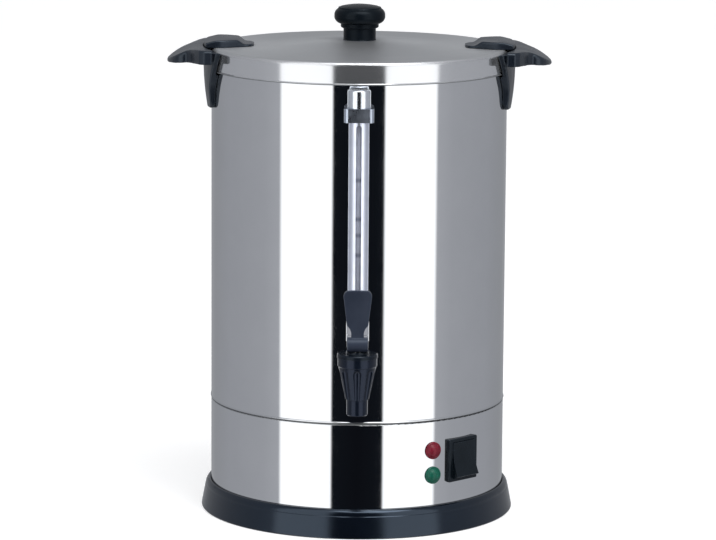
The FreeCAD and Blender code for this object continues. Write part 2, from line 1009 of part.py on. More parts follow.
def grip_half(share):
    """Half width of the grip at a share of its reach: flared root, then an elliptical end."""
    root = swept(grip_root_half, grip_half_width, (share - 0.13) / 0.42)
    end = max(0.0, (share - 0.6) / 0.4)
    return root * math.sqrt(1 - end ** 2)


def grip_high(share):
    return handle_top - grip_tip_drop * max(0.0, (share - 0.25) / 0.75) ** 1.6


def grip_low(share):
    tip_low = grip_tip_drop + grip_tip_thickness
    return handle_top - grip_root_thickness - (tip_low - grip_root_thickness) * share ** 2


def stations(start, end, count):
    """Shares of the reach from start to end, closer together towards the end."""
    turns = [math.radians(90 * i / count) for i in range(count + 1)]
    return [start + (end - start) * math.sin(angle) for angle in turns]


def grip_body():
    sections = []
    for share in [-grip_root_sink] + stations(0, grip_end_share, grip_stations):
        high = grip_high(share)
        low = grip_low(max(0.0, share))
        edge = min(grip_edge_round, grip_edge_share * (high - low))
        x = body_radius + share * grip_reach
        sections.append(section(x, grip_half(share), low, high, edge))
    return Part.makeLoft(sections, True, True)


def grip_hollow():
    """Space below the grip's top and inside its rim, for the fingers."""
    sections = []
    for share in stations(grip_hollow_start, grip_hollow_end, grip_stations - 4):
        high = grip_high(share) - grip_wall
        low = handle_top - 3 * grip_root_thickness
        x = body_radius + share * grip_reach
        sections.append(section(x, grip_half(share) - grip_side_wall, low, high, grip_hollow_round))
    return Part.makeLoft(sections, True, True)


def shield_face():
    """Front view of the mounting shield: wide top, eased waist and round lower corners."""
    top = (shield_half_top, shield_top)
    waist = (shield_half_waist, shield_low + shield_waist_rise)
    corner = (shield_half_low, shield_low + shield_corner_rise)
    foot = (shield_half_low - shield_corner_width, shield_low + shield_corner_rise / 6)
    round_to = (between(corner, foot, 0.3, 0.75), foot)
    bend_from, bend_to = eased(top, waist, corner, 0.2)
    bend_to = (bend_to[0], between(waist, corner, 0.5, 0.5))

    def left(place):
        return (-place[0], place[1])

    wire = outline(
        "yz",
        top,
        bend_from,
        bend_to,
        corner,
        round_to,
        ((0, shield_low), left(foot)),
        (left(round_to[0]), left(corner)),
        left(bend_to[1]),
        (left(bend_to[0]), left(bend_from)),
        left(top),
    )
    return prism(wire, Vector(2 * body_radius, 0, 0))


def handle():
    """Right handle: curved mounting shield with a wing-shaped grip, hollow below for the fingers."""
    outer_top = body_radius + shield_thick_top
    outer_low = body_radius + shield_thick_low
    relief_low = lid_low - 2 * handle_lid_gap
    web_low = grip_low(0) - grip_web
    face = shield_face()
    face_low = (outer_low, shield_low - sheet)
    face_high = (outer_top, web_low)
    shell = spin(
        (body_radius + face_gap, shield_low - sheet),
        (body_radius + face_gap, relief_low - 2 * handle_lid_gap),
        (relief_radius, relief_low),
        (relief_radius, shield_top),
        (outer_top, shield_top),
        face_high,
        (between(face_high, face_low, 0.3, 0.5), face_low),
    )
    web = spin(
        (outer_top - root_sink, web_low),
        (outer_top, web_low),
        (
            (outer_top + 0.25 * grip_web, grip_low(0) - 0.25 * grip_web),
            (outer_top + grip_web, grip_low(0) + root_sink),
        ),
        (outer_top - root_sink, grip_low(0) + root_sink),
    )
    grip = grip_body().cut([rod(outer_top - root_sink, 0, 2 * handle_top), grip_hollow()])
    body = fused(shell.common(face), web.common(face).cut(grip_hollow()), grip)
    saddle = rod(saddle_radius, shield_top, 2 * handle_top)
    notch_low = ear_under - ear_lip_depth - handle_lid_gap
    notch_half = ear_lip_half + handle_lid_gap
    notch = rod(saddle_radius, notch_low, 2 * handle_top).common(
        block(0, 2 * body_radius, -notch_half, notch_half, 0, 2 * handle_top)
    )
    start = body_radius - sheet
    holes = [
        handle_screw_line(handle_screw_radius + running_gap, start, handle_screw_depth + sheet, 1, place)
        for place in (1, -1)
    ]
    return body.cut([saddle, notch] + holes)


def handle_screws():
    """Screws from inside the tank, through a seal and the wall, into the handles."""
    solids = []
    seat = inner_radius - seal_thickness - 2 * face_gap
    length = body_radius + handle_screw_depth - seat - root_sink
    for side, place in handle_places():
        shank = handle_screw_line(handle_screw_radius, seat, length, side, place)
        head = handle_screw_line(screw_head_radius, seat - screw_head_height, screw_head_height, side, place)
        solids.append(fused(head, shank))
    return group(solids)


def handle_seals():
    """Soft rings between the screw heads and the round wall."""
    solids = []
    start = inner_radius - seal_thickness - face_gap
    for side, place in handle_places():
        ring = handle_screw_line(seal_radius, start, seal_thickness + sheet, side, place)
        hole = handle_screw_line(handle_screw_radius + hole_gap / 2, start - sheet, 5 * sheet, side, place)
        solids.append(ring.cut(hole).common(rod(inner_radius - 2 * face_gap, 0, rim_top)))
    return group(solids)


def gauge_tube(outer, inner, low, high):
    """Round tube on the gauge's axis."""
    tube = rod(outer, low, high, 0, -gauge_offset)
    return tube.cut(rod(inner, low - sheet, high + sheet, 0, -gauge_offset))


def gauge_glass():
    return gauge_tube(gauge_glass_radius, gauge_glass_radius - gauge_glass_wall, glass_low, glass_top)


def gauge_guard():
    """Steel tube with a long window with round ends in front of the glass."""
    tube = gauge_tube(guard_radius, guard_radius - guard_wall, gauge_socket_top, guard_top)
    half = guard_slot / 2
    low = gauge_socket_top + window_margin_low
    high = guard_top - bracket_height - window_margin_high
    front = -gauge_offset - 2 * guard_radius
    window = block(-half, half, front, -gauge_offset, low, high)
    ends = [along_y(half, front, -gauge_offset, z) for z in (low, high)]
    return tube.cut([window] + ends)


def gauge_bushes():
    """Soft rings that hold the glass inside the guard, at its top and bottom."""
    outer = guard_radius - guard_wall - face_gap
    inner = gauge_glass_radius + face_gap
    lows = (gauge_socket_top + bush_gap, guard_top - bush_gap - bush_height)
    return group(gauge_tube(outer, inner, low, low + bush_height) for low in lows)


def gauge_bracket():
    """Bracket with a rounded front round the guard, welded to the tank's wall."""
    half = bracket_half_width
    front = -gauge_offset - guard_radius - bracket_front
    back = -body_radius + bracket_height
    low = guard_top - bracket_height
    corner = bracket_corner
    body = prism(
        outline(
            "xy",
            (-half, back),
            *turn((-half + corner, front + corner), corner, 180, 270),
            *turn((half - corner, front + corner), corner, 270, 360),
            (half, back),
        ),
        Vector(0, 0, bracket_height),
    )
    bore = rod(guard_radius + face_gap, 0, rim_top, 0, -gauge_offset)
    return moved(body, 0, 0, low).cut([bore, rod(body_radius + face_gap, 0, rim_top)])


def gauge_cap():
    """Turned cap over the top of the glass, with a small vent in its back."""
    low = guard_top + face_gap
    top = low + gauge_cap_height
    bore = gauge_glass_radius + hole_gap
    depth = glass_rise + gauge_cap_headroom
    edge = gauge_cap_round
    turned = spin(
        (bore, low),
        (gauge_cap_radius, low),
        *turn((gauge_cap_radius - edge, top - edge), edge, 0, 90),
        (0, top),
        (0, low + depth),
        (bore, low + depth),
    )
    vent = along_y(gauge_vent_radius, 0, 2 * gauge_cap_radius, low + depth - gauge_vent_radius)
    return moved(turned.cut(vent), 0, -gauge_offset)


def gauge_socket():
    """Plated nut that clamps the packing round the lower end of the glass."""
    low = gauge_socket_low
    top = gauge_socket_top
    shoulder = low + gauge_socket_shoulder
    groove = low + gauge_socket_shoulder / 2
    edge = gauge_socket_edge
    step = gauge_socket_groove
    bore = upright_radius + running_gap
    neck = gauge_glass_radius + hole_gap
    nut = spin(
        (bore, low),
        (gauge_socket_radius - edge, low),
        (gauge_socket_radius, low + edge),
        (gauge_socket_radius, groove),
        (gauge_socket_radius - step, groove + step),
        (gauge_socket_radius, groove + 2 * step),
        (gauge_socket_radius, top - edge),
        (gauge_socket_radius - edge, top),
        (neck, top),
        (neck, shoulder),
        (bore, shoulder),
    )
    return moved(nut, 0, -gauge_offset)


def gauge_packing():
    low = gauge_socket_low + upright_grip + face_gap
    high = gauge_socket_low + gauge_socket_shoulder - face_gap
    return gauge_tube(upright_radius - face_gap, gauge_glass_radius + face_gap, low, high)


def tap_barrel():
    """Barrel of the tap: plain outlet tip, fluted cone and collar."""
    cone_low = tap_bottom + tip_height
    collar_low = tap_top - collar_height
    step = (cone_low_radius - tip_radius) / 2
    barrel = spin(
        (0, tap_bottom),
        (tip_radius - tip_edge, tap_bottom),
        (tip_radius, tap_bottom + tip_edge),
        (tip_radius, cone_low - step),
        (cone_low_radius, cone_low),
        (cone_top_radius, collar_low),
        (collar_radius, collar_low + collar_radius - cone_top_radius),
        (collar_radius, tap_top),
        (0, tap_top),
    )
    lean = math.atan2(cone_top_radius - cone_low_radius, collar_low - cone_low)
    length = (collar_low - cone_low + flute_run - flute_top_radius - flute_margin) / math.cos(lean)
    flute = Part.makeCone(flute_low_radius, flute_top_radius, length)
    flute = flute.fuse(Part.makeSphere(flute_top_radius, Vector(0, 0, length)))
    flute.rotate(Vector(0, 0, 0), Vector(1, 0, 0), math.degrees(lean))
    start = cone_low_radius - flute_run * math.tan(lean) + flute_proud
    flute = moved(flute, 0, -start, cone_low - flute_run)
    return moved(barrel.cut(ring_of(flute, even_angles(flute_count))), 0, -tap_offset)


def tap_body():
    """Fluted barrel with its seat and outlet, the shank through the wall and the gauge's upright."""
    inside = -inner_radius + gasket_thickness + nut_thickness + shank_spare
    shank = along_y(shank_radius, -tap_offset + tip_radius, inside, shank_height)
    flange_back = -body_radius - gasket_thickness
    flange = along_y(shank_flange_radius, flange_back - shank_flange, flange_back, shank_height)
    upright = rod(upright_radius, shank_height, gauge_socket_low + upright_grip, 0, -gauge_offset)
    body = fused(tap_barrel(), shank, flange, upright)
    gauge_bore = gauge_glass_radius - gauge_glass_wall
    glass_bore = gauge_glass_radius + hole_gap
    cuts = [
        rod(outlet_bore, 0, tap_top, 0, -tap_offset),
        rod(lower_chamber, seat_height, tap_top + sheet, 0, -tap_offset),
        rod(upper_chamber, plug_low - bonnet_edge, tap_top + sheet, 0, -tap_offset),
        along_y(shank_bore, -tap_offset, inside + sheet, shank_height),
        rod(gauge_bore, shank_height, glass_top, 0, -gauge_offset),
        rod(glass_bore, glass_low, glass_top, 0, -gauge_offset),
    ]
    return body.cut(cuts)


def tap_outer_gasket():
    """Ring between the shank's flange and the round wall."""
    flange_back = -body_radius - gasket_thickness
    disc = along_y(shank_flange_radius - gasket_inset, flange_back + face_gap, -inner_radius, shank_height)
    hole = along_y(shank_radius + hole_gap / 2, flange_back - sheet, 0, shank_height)
    return disc.cut([hole, rod(body_radius + 2 * face_gap, 0, rim_top)])


def tap_inner_gasket():
    """Ring between the nut and the inside of the wall."""
    inside = -inner_radius + gasket_thickness
    disc = along_y(shank_flange_radius - gasket_inset, -body_radius, inside - face_gap, shank_height)
    hole = along_y(shank_radius + hole_gap / 2, -tap_offset, 0, shank_height)
    return disc.cut(hole).common(rod(inner_radius - 2 * face_gap, 0, rim_top))


def tap_nut():
    nut = hex_prism(nut_flats, nut_thickness, 0).cut(rod(shank_radius + face_gap, -sheet, 2 * nut_thickness))
    nut.rotate(Vector(0, 0, 0), Vector(1, 0, 0), -90)
    return moved(nut, 0, -inner_radius + gasket_thickness, shank_height)


def tap_bonnet():
    """Screwed cover of the barrel: plug, wide flange and the neck on which the lever's heel rides."""
    bore = stem_radius + running_gap
    plug = upper_chamber - running_gap
    high = tap_top + bonnet_disc
    bonnet = spin(
        (bore, plug_low),
        (plug, plug_low),
        (plug, tap_top),
        (bonnet_radius, tap_top),
        (bonnet_radius, high - bonnet_edge),
        (bonnet_radius - bonnet_edge, high),
        (bonnet_neck_radius + bonnet_edge, high),
        (bonnet_neck_radius, bonnet_top),
        (bore, bonnet_top),
    )
    return moved(bonnet, 0, -tap_offset)


def tap_stem():
    """Stem with flats between the lever's cheeks, a head for its pin and a shoulder on the seat cup."""
    head_low = bonnet_top + stem_shoulder_height
    head_high = pin_height + stem_head_rise
    head = stem_radius + stem_head_extra
    foot = seat_height + stem_foot_rise
    shoulder_low = seat_height + cup_height + face_gap
    shoulder_high = shoulder_low + stem_shoulder_height
    shoulder = stem_radius + stem_shoulder
    stem = spin(
        (0, foot),
        (stem_radius, foot),
        (stem_radius, shoulder_low),
        (shoulder, shoulder_low),
        (shoulder, shoulder_high),
        (stem_radius, shoulder_high),
        (stem_radius, head_low),
        (head, head_low),
        (head, head_high),
        (0, head_high),
    )
    flats_low = bonnet_top - cam_offset * math.sin(math.radians(lever_swing))
    flats = plate(stem_head_half, 2 * head, flats_low, 2 * head_high)
    stem = stem.common(flats.fuse(rod(2 * shoulder, 0, flats_low)))
    stem = stem.cut(along_x(pin_radius + running_gap, 2 * head, 0, pin_height))
    return moved(stem, 0, -tap_offset)


def tap_seat_cup():
    """Soft cup on the stem's end that closes the seat."""
    low = seat_height + 2 * face_gap
    top = seat_height + cup_height
    bore = stem_radius + face_gap
    foot = seat_height + stem_foot_rise - face_gap
    cup = spin(
        (0, low - cup_nose),
        (outlet_bore - cup_nose, low - cup_nose),
        (outlet_bore - seat_gap, low),
        (cup_radius, low),
        (cup_radius, top - cup_edge),
        (cup_radius - cup_edge, top),
        (bore, top),
        (bore, foot),
        (0, foot),
    )
    return moved(cup, 0, -tap_offset)


def tap_spring():
    """Square-wire spring between the stem's shoulder and the bonnet's plug."""
    half = spring_wire / 2
    low = seat_height + cup_height + stem_shoulder_height + 2 * face_gap + half
    high = plug_low - half - face_gap
    pitch = (high - low) / spring_turns
    helix = Part.makeHelix(pitch, high - low, spring_radius)
    wire = outline(
        "xz",
        (spring_radius - half, -half),
        (spring_radius + half, -half),
        (spring_radius + half, half),
        (spring_radius - half, half),
    )
    coil = Part.Wire(helix.Edges).makePipeShell([wire], True, True)
    return moved(coil, 0, -tap_offset, low)


def tap_pin():
    return along_x(pin_radius, hub_half_width, -tap_offset, pin_height)


def lever_slot():
    """Space in the hub that the stem's flat head sweeps while the lever swings."""
    half = stem_head_half + fork_gap
    head = stem_radius + stem_head_extra + seat_gap
    rise = stem_head_rise + seat_gap
    fall = cam_radius + 2 * bonnet_neck
    swing = math.radians(lever_swing)

    def swung(y, z):
        return (y * math.cos(swing) + z * math.sin(swing), z * math.cos(swing) - y * math.sin(swing))

    sweep = prism(
        outline("yz", (head, -fall), (head, rise), swung(-head, 0), swung(-head, -fall)),
        Vector(2 * half, 0, 0),
    )
    return fused(along_x(math.hypot(head, rise), half, 0, 0), moved(sweep, -half, 0))


def lever_hub():
    """Two cheeks beside the stem: an eye round the pin and the offset round heel."""
    heel = along_x(cam_radius, hub_half_width, -cam_offset, 0)
    eye = along_x(eye_radius, hub_half_width, 0, 0)
    half = eye_radius - face_gap
    bridge = block(-hub_half_width, hub_half_width, -cam_offset, 0, -half, half)
    return fused(heel, eye, bridge)


def lever_paddle():
    """Forward-leaning paddle with a round end, seen from the front and cut to its side view."""
    neck = (neck_half, neck_top)
    shoulder = (shoulder_half, paddle_low)
    wide = (paddle_half, paddle_wide)
    end = (paddle_half - paddle_end_round, lever_top - root_sink)

    def left(place):
        return (-place[0], place[1])

    flare = between(neck, shoulder, 0.35, 0.6)
    corner = between(wide, end, 0.18, 0.66)
    front_view = prism(
        outline(
            "xz",
            (neck_half, neck_top - shoulder_length / 2),
            neck,
            (flare, shoulder),
            wide,
            (corner, end),
            ((0, lever_top), left(end)),
            (left(corner), left(wide)),
            left(shoulder),
            (left(flare), left(neck)),
            (-neck_half, neck_top - shoulder_length / 2),
        ),
        Vector(0, 4 * cam_offset + paddle_length, 0),
    )
    low = neck_top - shoulder_length / 2
    high = lever_top + sheet
    middle = (low + high) / 2
    front = -cam_offset - paddle_thickness / 2
    lean = (lever_top - paddle_low) * math.tan(math.radians(paddle_lean))
    side_view = prism(
        outline(
            "yz",
            (front, low),
            ((front - lean * 0.35, middle), (front - lean, high)),
            (front - lean + paddle_edge, high),
            ((front - lean * 0.35 + 0.9 * paddle_thickness, middle), (front + paddle_thickness, low)),
        ),
        Vector(4 * paddle_half, 0, 0),
    )
    front_view = moved(front_view, 0, -4 * cam_offset - paddle_length)
    return front_view.common(moved(side_view, -2 * paddle_half, 0))


def tap_lever():
    """Lever with a forked hub whose offset heel lifts the stem, a neck and a paddle for the thumb."""
    half = neck_thickness / 2
    front = -cam_offset - half
    back = -cam_offset + half
    neck = block(-neck_half, neck_half, front, back, pin_height, neck_top + root_sink)
    lever = fused(moved(lever_hub(), 0, 0, pin_height), neck, lever_paddle())
    cuts = [
        moved(lever_slot(), 0, 0, pin_height),
        along_x(pin_radius + running_gap, 2 * hub_half_width, 0, pin_height),
    ]
    return moved(lever.cut(cuts), 0, -tap_offset)


def lamp_lens(height):
    """Domed lens with a flange on the housing's wall."""
    wall = body_radius + face_gap
    rim = wall + lens_flange
    lens = spin(
        (0, wall),
        (lens_radius, wall),
        (lens_radius, rim),
        (lens_radius - lens_edge, rim + lens_edge),
        (lens_radius - lens_step, rim + lens_edge),
        cap(lens_radius - lens_step, rim + lens_edge, rim + lens_edge + lens_dome),
    )
    return mounted(lens, lamp_angle, height)


def at_both_lamps(shape):
    return group(mounted(shape, lamp_angle, height) for height in (red_lamp_height, green_lamp_height))


def lamp_bodies():
    """Barrels behind the lenses, through the housing's wall."""
    back = body_radius - lamp_length
    neck = lamp_barrel - lamp_neck
    barrel = spin(
        (0, back),
        (neck, back),
        (neck, back + lamp_neck_length),
        (lamp_barrel, back + lamp_neck_length),
        (lamp_barrel, body_radius),
        (0, body_radius),
    )
    return at_both_lamps(barrel)


def lamp_clips():
    """Spring rings that hold the lamps from inside the housing."""
    high = math.sqrt(inner_radius ** 2 - lamp_clip_radius ** 2) - face_gap
    ring = rod(lamp_clip_radius, high - lamp_clip_thickness, high)
    return at_both_lamps(ring.cut(rod(lamp_barrel + running_gap, 0, body_radius)))


def on_switch(shape):
    return mounted(shape, switch_angle, switch_height)


def switch_blades():
    """Places of the blades behind the switch."""
    return [(x, y) for x in (-blade_pitch_x, blade_pitch_x) for y in (-blade_pitch_y, 0, blade_pitch_y)]


def switch_body():
    """Frame that follows the wall behind, with the box that carries the rocker."""
    front = body_radius + switch_proud
    back = front - switch_depth
    floor = back + switch_floor
    half_w = rocker_half_width + seat_gap + running_gap
    half_h = rocker_round + seat_gap + running_gap
    frame = plate(switch_half_width, switch_half_height, body_radius - 2 * switch_proud, front)
    rims = [e for e in frame.Edges if e.BoundBox.ZMin > body_radius or e.BoundBox.ZLength > switch_proud]
    frame = on_switch(frame.makeFillet(switch_corner, rims)).cut(rod(body_radius + face_gap, 0, housing_top))
    box = plate(half_w + switch_wall, half_h + switch_wall, back, body_radius + switch_proud / 3)
    stub = half_w + switch_wall - seat_gap
    pivot = Vector(-stub, 0, front - pivot_depth)
    half_slot = (blade_thickness / 2 + blade_gap, blade_width / 2 + blade_gap)
    slot = plate(half_slot[0], half_slot[1], back - sheet, back + blade_root + hole_gap)
    cuts = [
        plate(half_w, half_h, floor, front + switch_proud),
        Part.makeCylinder(axle_radius + running_gap, 2 * stub, pivot, Vector(1, 0, 0)),
    ]
    cuts += [moved(slot, x, y) for x, y in switch_blades()]
    return fused(frame, on_switch(box)).cut([on_switch(cut) for cut in cuts])


def switch_terminals():
    back = body_radius + switch_proud - switch_depth
    blade = plate(blade_thickness / 2, blade_width / 2, back - blade_length, back + blade_root)
    return group(on_switch(moved(blade, x, y)) for x, y in switch_blades())


def switch_rocker():
    """Rocker with two sloped faces and round ends about its axle, resting with its upper end pressed."""
    pivot = body_radius + switch_proud - pivot_depth
    far = 1.3 * rocker_round
    rise = far * math.tan(math.radians(rocker_tilt))
    side_view = prism(
        outline(
            "yz",
            (-far, -rocker_depth),
            (far, -rocker_depth),
            (far, rocker_rise + rise),
            ((0, rocker_rise), (-far, rocker_rise + rise)),
        ),
        Vector(2 * rocker_half_width, 0, 0),
    )
    ends = along_x(rocker_round, rocker_half_width, 0, 0)
    axle = along_x(axle_radius, rocker_half_width + switch_wall - hole_gap, 0, 0)
    rocker = fused(moved(side_view, -rocker_half_width, 0).common(ends), axle)
    rocker.rotate(Vector(0, 0, 0), Vector(1, 0, 0), -rocker_tilt)
    return on_switch(moved(rocker, 0, 0, pivot))


def on_inlet(shape):
    return mounted(shape, inlet_angle, inlet_height)


def inlet_pins_at():
    """Places of the inlet's pins: line, neutral and earth."""
    return [(-inlet_pin_pitch, -inlet_pin_rise), (inlet_pin_pitch, -inlet_pin_rise), (0, inlet_pin_rise)]


def power_inlet():
    """Flanged three-pin inlet, its flange fitted to the round wall."""
    front = body_radius + inlet_proud
    back = front - socket_depth - inlet_back
    flange = plate(inlet_half_width, inlet_half_height, body_radius - 2 * inlet_proud, front)
    corners = [e for e in flange.Edges if e.BoundBox.ZLength > inlet_proud]
    seat = rod(body_radius + face_gap, 0, housing_top)
    flange = on_inlet(flange.makeFillet(inlet_corner, corners)).cut(seat)
    w = socket_half_width
    h = socket_half_height
    bevel = socket_chamfer
    box = plate(w + switch_wall, h + switch_wall, back, body_radius + inlet_proud / 3)
    cavity = prism(
        outline("xy", (-w, h - bevel), (-w, -h), (w, -h), (w, h - bevel), (w - bevel, h), (-w + bevel, h)),
        Vector(0, 0, 2 * socket_depth),
    )
    slot = plate(inlet_pin_width / 2 + blade_gap, inlet_pin_height / 2 + blade_gap, back - sheet, front)
    hole = rod(inlet_screw_radius + hole_gap, 0, 2 * front)
    cuts = [moved(cavity, 0, 0, front - socket_depth)]
    cuts += [moved(slot, x, y) for x, y in inlet_pins_at()]
    cuts += [moved(hole, side * inlet_screw_pitch, 0) for side in (1, -1)]
    return fused(flange, on_inlet(box)).cut([on_inlet(cut) for cut in cuts])


def inlet_pins():
    front = body_radius + inlet_proud
    back = front - socket_depth - inlet_back - inlet_tail
    pin = plate(inlet_pin_width / 2, inlet_pin_height / 2, back, front - inlet_pin_recess)
    return group(on_inlet(moved(pin, x, y)) for x, y in inlet_pins_at())


def inlet_screws():
    front = body_radius + inlet_proud + face_gap
    screw = spin(
        (0, front - inlet_screw_length),
        (inlet_screw_radius, front - inlet_screw_length),
        (inlet_screw_radius, front),
        (inlet_head_radius, front),
        (inlet_head_radius, front + inlet_head_height / 3),
        cap(inlet_head_radius, front + inlet_head_height / 3, front + inlet_head_height),
    )
    return group(on_inlet(moved(screw, side * inlet_screw_pitch, 0)) for side in (1, -1))


def pump_tube():
    """Riser tube with the bead on which the basket stands."""
    inner = tube_radius - tube_wall
    bead = tube_radius + tube_bead
    low = well_floor + tube_lift
    high = basket_low - face_gap
    return spin(
        (inner, low),
        (tube_radius, low),
        (tube_radius, high - 2 * tube_bead_height),
        (bead, high - tube_bead_height),
        (bead, high),
        (tube_radius, high),
        (tube_radius, tube_top),
        (inner, tube_top),
    )


def pump_foot():
    """Bell that stands in the well, with its valve plate, intake holes and notches in the rim."""
    low = well_floor + seat_gap
    r = foot_radius
    wall = pump_wall
    throat = tube_radius + hole_gap / 10
    neck = throat + pump_neck_wall
    cone_low = low + pump_rim
    cone_high = cone_low + pump_cone_height
    bell_high = low + pump_bell_rise
    neck_low = bell_high + pump_rim
    neck_high = neck_low + pump_neck_height
    lean = wall * 0.5
    bell = spin(
        (r - wall, low),
        (r, low),
        (r, cone_low),
        (r - pump_cone, cone_high),
        (pump_bell_radius, bell_high),
        (neck, neck_low),
        (neck, neck_high),
        (throat, neck_high),
        (throat, neck_low - 1.5 * wall),
        (pump_bell_radius - wall, bell_high - wall * 0.6),
        (r - pump_cone - wall, cone_high - lean),
        (r - wall, cone_low - lean / 2),
    )
    middle = r - lean
    inside = spin(
        (0, low),
        (middle, low),
        (middle, cone_low),
        (middle - pump_cone, cone_high - lean / 2),
        (0, cone_high - lean / 2),
    )
    seat = rod(r, low + pump_plate_lift, low + pump_plate_lift + pump_plate).common(inside)
    half = pump_notch_width / 2
    notch = block(-half, half, -r - wall, -r + 4 * wall, low - wall, low + pump_notch_height)
    hole = rod(pump_hole_radius, low, cone_high, 0, -pump_hole_ring)
    cuts = ring_of(hole, even_angles(6)) + ring_of(notch, even_angles(4, 0.5))
    return fused(bell, seat).cut(cuts)


def pump_valve():
    """Loose disc over the intake holes."""
    low = well_floor + seat_gap + pump_plate_lift + pump_plate + face_gap
    disc = rod(valve_radius, low, low + valve_thickness)
    return fused(disc, rod(valve_button, low, low + valve_thickness + valve_button_height))


def basket():
    """Coffee basket with radial slits in its floor and a sleeve round the riser tube."""
    r = basket_radius
    low = basket_low
    top = basket_top
    sleeve = tube_radius + sleeve_gap
    bend = basket_bend
    shell = spin(
        (sleeve, low),
        (r - bend, low),
        (r, low + bend),
        (r, top - sheet),
        (r + basket_rim, top - sheet),
        (r + basket_rim, top),
        (r - sheet, top),
        (r - sheet, low + bend),
        (r - bend, low + sheet),
        (sleeve + sheet, low + sheet),
        (sleeve + sheet, top + sleeve_rise),
        (sleeve, top + sleeve_rise),
    )
    cuts = []
    for ring in range(1, slit_rings + 1):
        outer = r - slit_margin - (slit_rings - ring) * slit_step
        half = slit_width / 2
        slit = block(-half, half, -outer, -outer + slit_length, low - sheet, low + 2 * sheet)
        cuts += ring_of(slit, even_angles(ring * slits_per_ring))
    return shell.cut(cuts)


def basket_cover():
    """Spreader over the basket: rim, perforated dish and a collar round the sleeve."""
    r = basket_radius + basket_rim + seat_gap
    low = basket_top + 2 * face_gap
    sleeve = tube_radius + sleeve_gap + sheet + seat_gap
    bead = r - spreader_bead_width / 2
    dish = spin(
        (sleeve, low),
        (r, low),
        (r, low - spreader_hem),
        (r + sheet, low - spreader_hem),
        (r + sheet, low + sheet),
        (bead, low + sheet),
        (bead - sheet, low + sheet + spreader_bead),
        (bead - 2 * sheet, low + sheet + spreader_bead),
        (bead - 3 * sheet, low + sheet),
        (sleeve + 2 * sheet, low + sheet),
        (sleeve + sheet, low + spreader_collar),
        (sleeve, low + spreader_collar),
    )
    cuts = []
    half = spreader_hole / 2
    for ring in range(1, slit_rings + 1):
        outer = r - 2 * slit_margin - (slit_rings - ring) * slit_step
        slot = block(-half, half, -outer, -outer + spreader_slot, low - sheet, low + 2 * sheet)
        cuts += ring_of(slot, even_angles(ring * slits_per_ring * 2 // 3))
    return dish.cut(cuts)


def heat_spreader():
    low = floor_under - heat_plate_thickness
    return rod(heat_plate_outer, low, floor_under).cut(rod(heat_plate_inner, low - sheet, floor_top))


def element(ring, half, gap):
    """Flat-sided sheathed rod in an open ring under the spreader, with two cold legs down at the back."""
    high = floor_under - heat_plate_thickness
    low = high - 2 * half
    bevel = half / 2
    wire = outline(
        "rz",
        (ring - half, low + bevel),
        (ring - half + bevel, low),
        (ring + half - bevel, low),
        (ring + half, low + bevel),
        (ring + half, high - bevel),
        (ring + half - bevel, high),
        (ring - half + bevel, high),
        (ring - half, high - bevel),
    )
    body = Part.Face(wire).revolve(Vector(0, 0, 0), Vector(0, 0, 1), 360 - 2 * gap)
    leg = fused(
        rod(half, low - cold_leg, high - half, 0, -ring),
        rod(cold_pin_radius, low - cold_leg - cold_pin_length, low - cold_leg + half, 0, -ring),
    )
    return fused(around(body, 90 + gap), *ring_of(leg, (180 - gap, 180 + gap)))


def thermostat(angle):
    """Disc thermostat on the tank's floor, with two blades below."""
    high = floor_under
    low = high - thermostat_height
    flange = rod(thermostat_radius, high - thermostat_flange, high)
    body = rod(thermostat_radius - thermostat_step, low, high)
    blade = plate(blade_thickness / 2, blade_width / 2, low - blade_length, low + blade_root)
    blades = [moved(blade, side * thermostat_radius / 2.4, 0) for side in (1, -1)]
    return around(moved(fused(flange, body, *blades), 0, -thermostat_reach), angle)


def thermal_cutout():
    """Cut-out with a reset button, on the tank's floor."""
    high = floor_under
    low = high - cutout_height
    body = fused(
        rod(cutout_half * 1.4, high - thermostat_flange, high),
        plate(cutout_half, cutout_half, low, high),
        rod(cutout_button_radius, low - cutout_button_height, high),
    )
    return around(moved(body, 0, -thermostat_reach), 225)


def terminal_block():
    """Three-way block on the bottom cover, with wire entries and screw wells."""
    low = cover_top + face_gap
    top = low + terminal_height
    length = terminal_half_length
    width = terminal_half_width
    wall = plate(length, terminal_wall_half, low, top + terminal_wall_height)
    body = fused(plate(length, width, low, top), wall)
    entry = low + terminal_wire_height
    cuts = []
    for place in (-1, 0, 1):
        x = place * terminal_pitch
        cuts.append(along_y(terminal_wire_radius, -2 * width, 2 * width, entry, x))
        cuts += [rod(terminal_screw_radius, entry, 2 * top, x, side * width * 0.66) for side in (1, -1)]
    return moved(body.cut(cuts), *terminal_place)


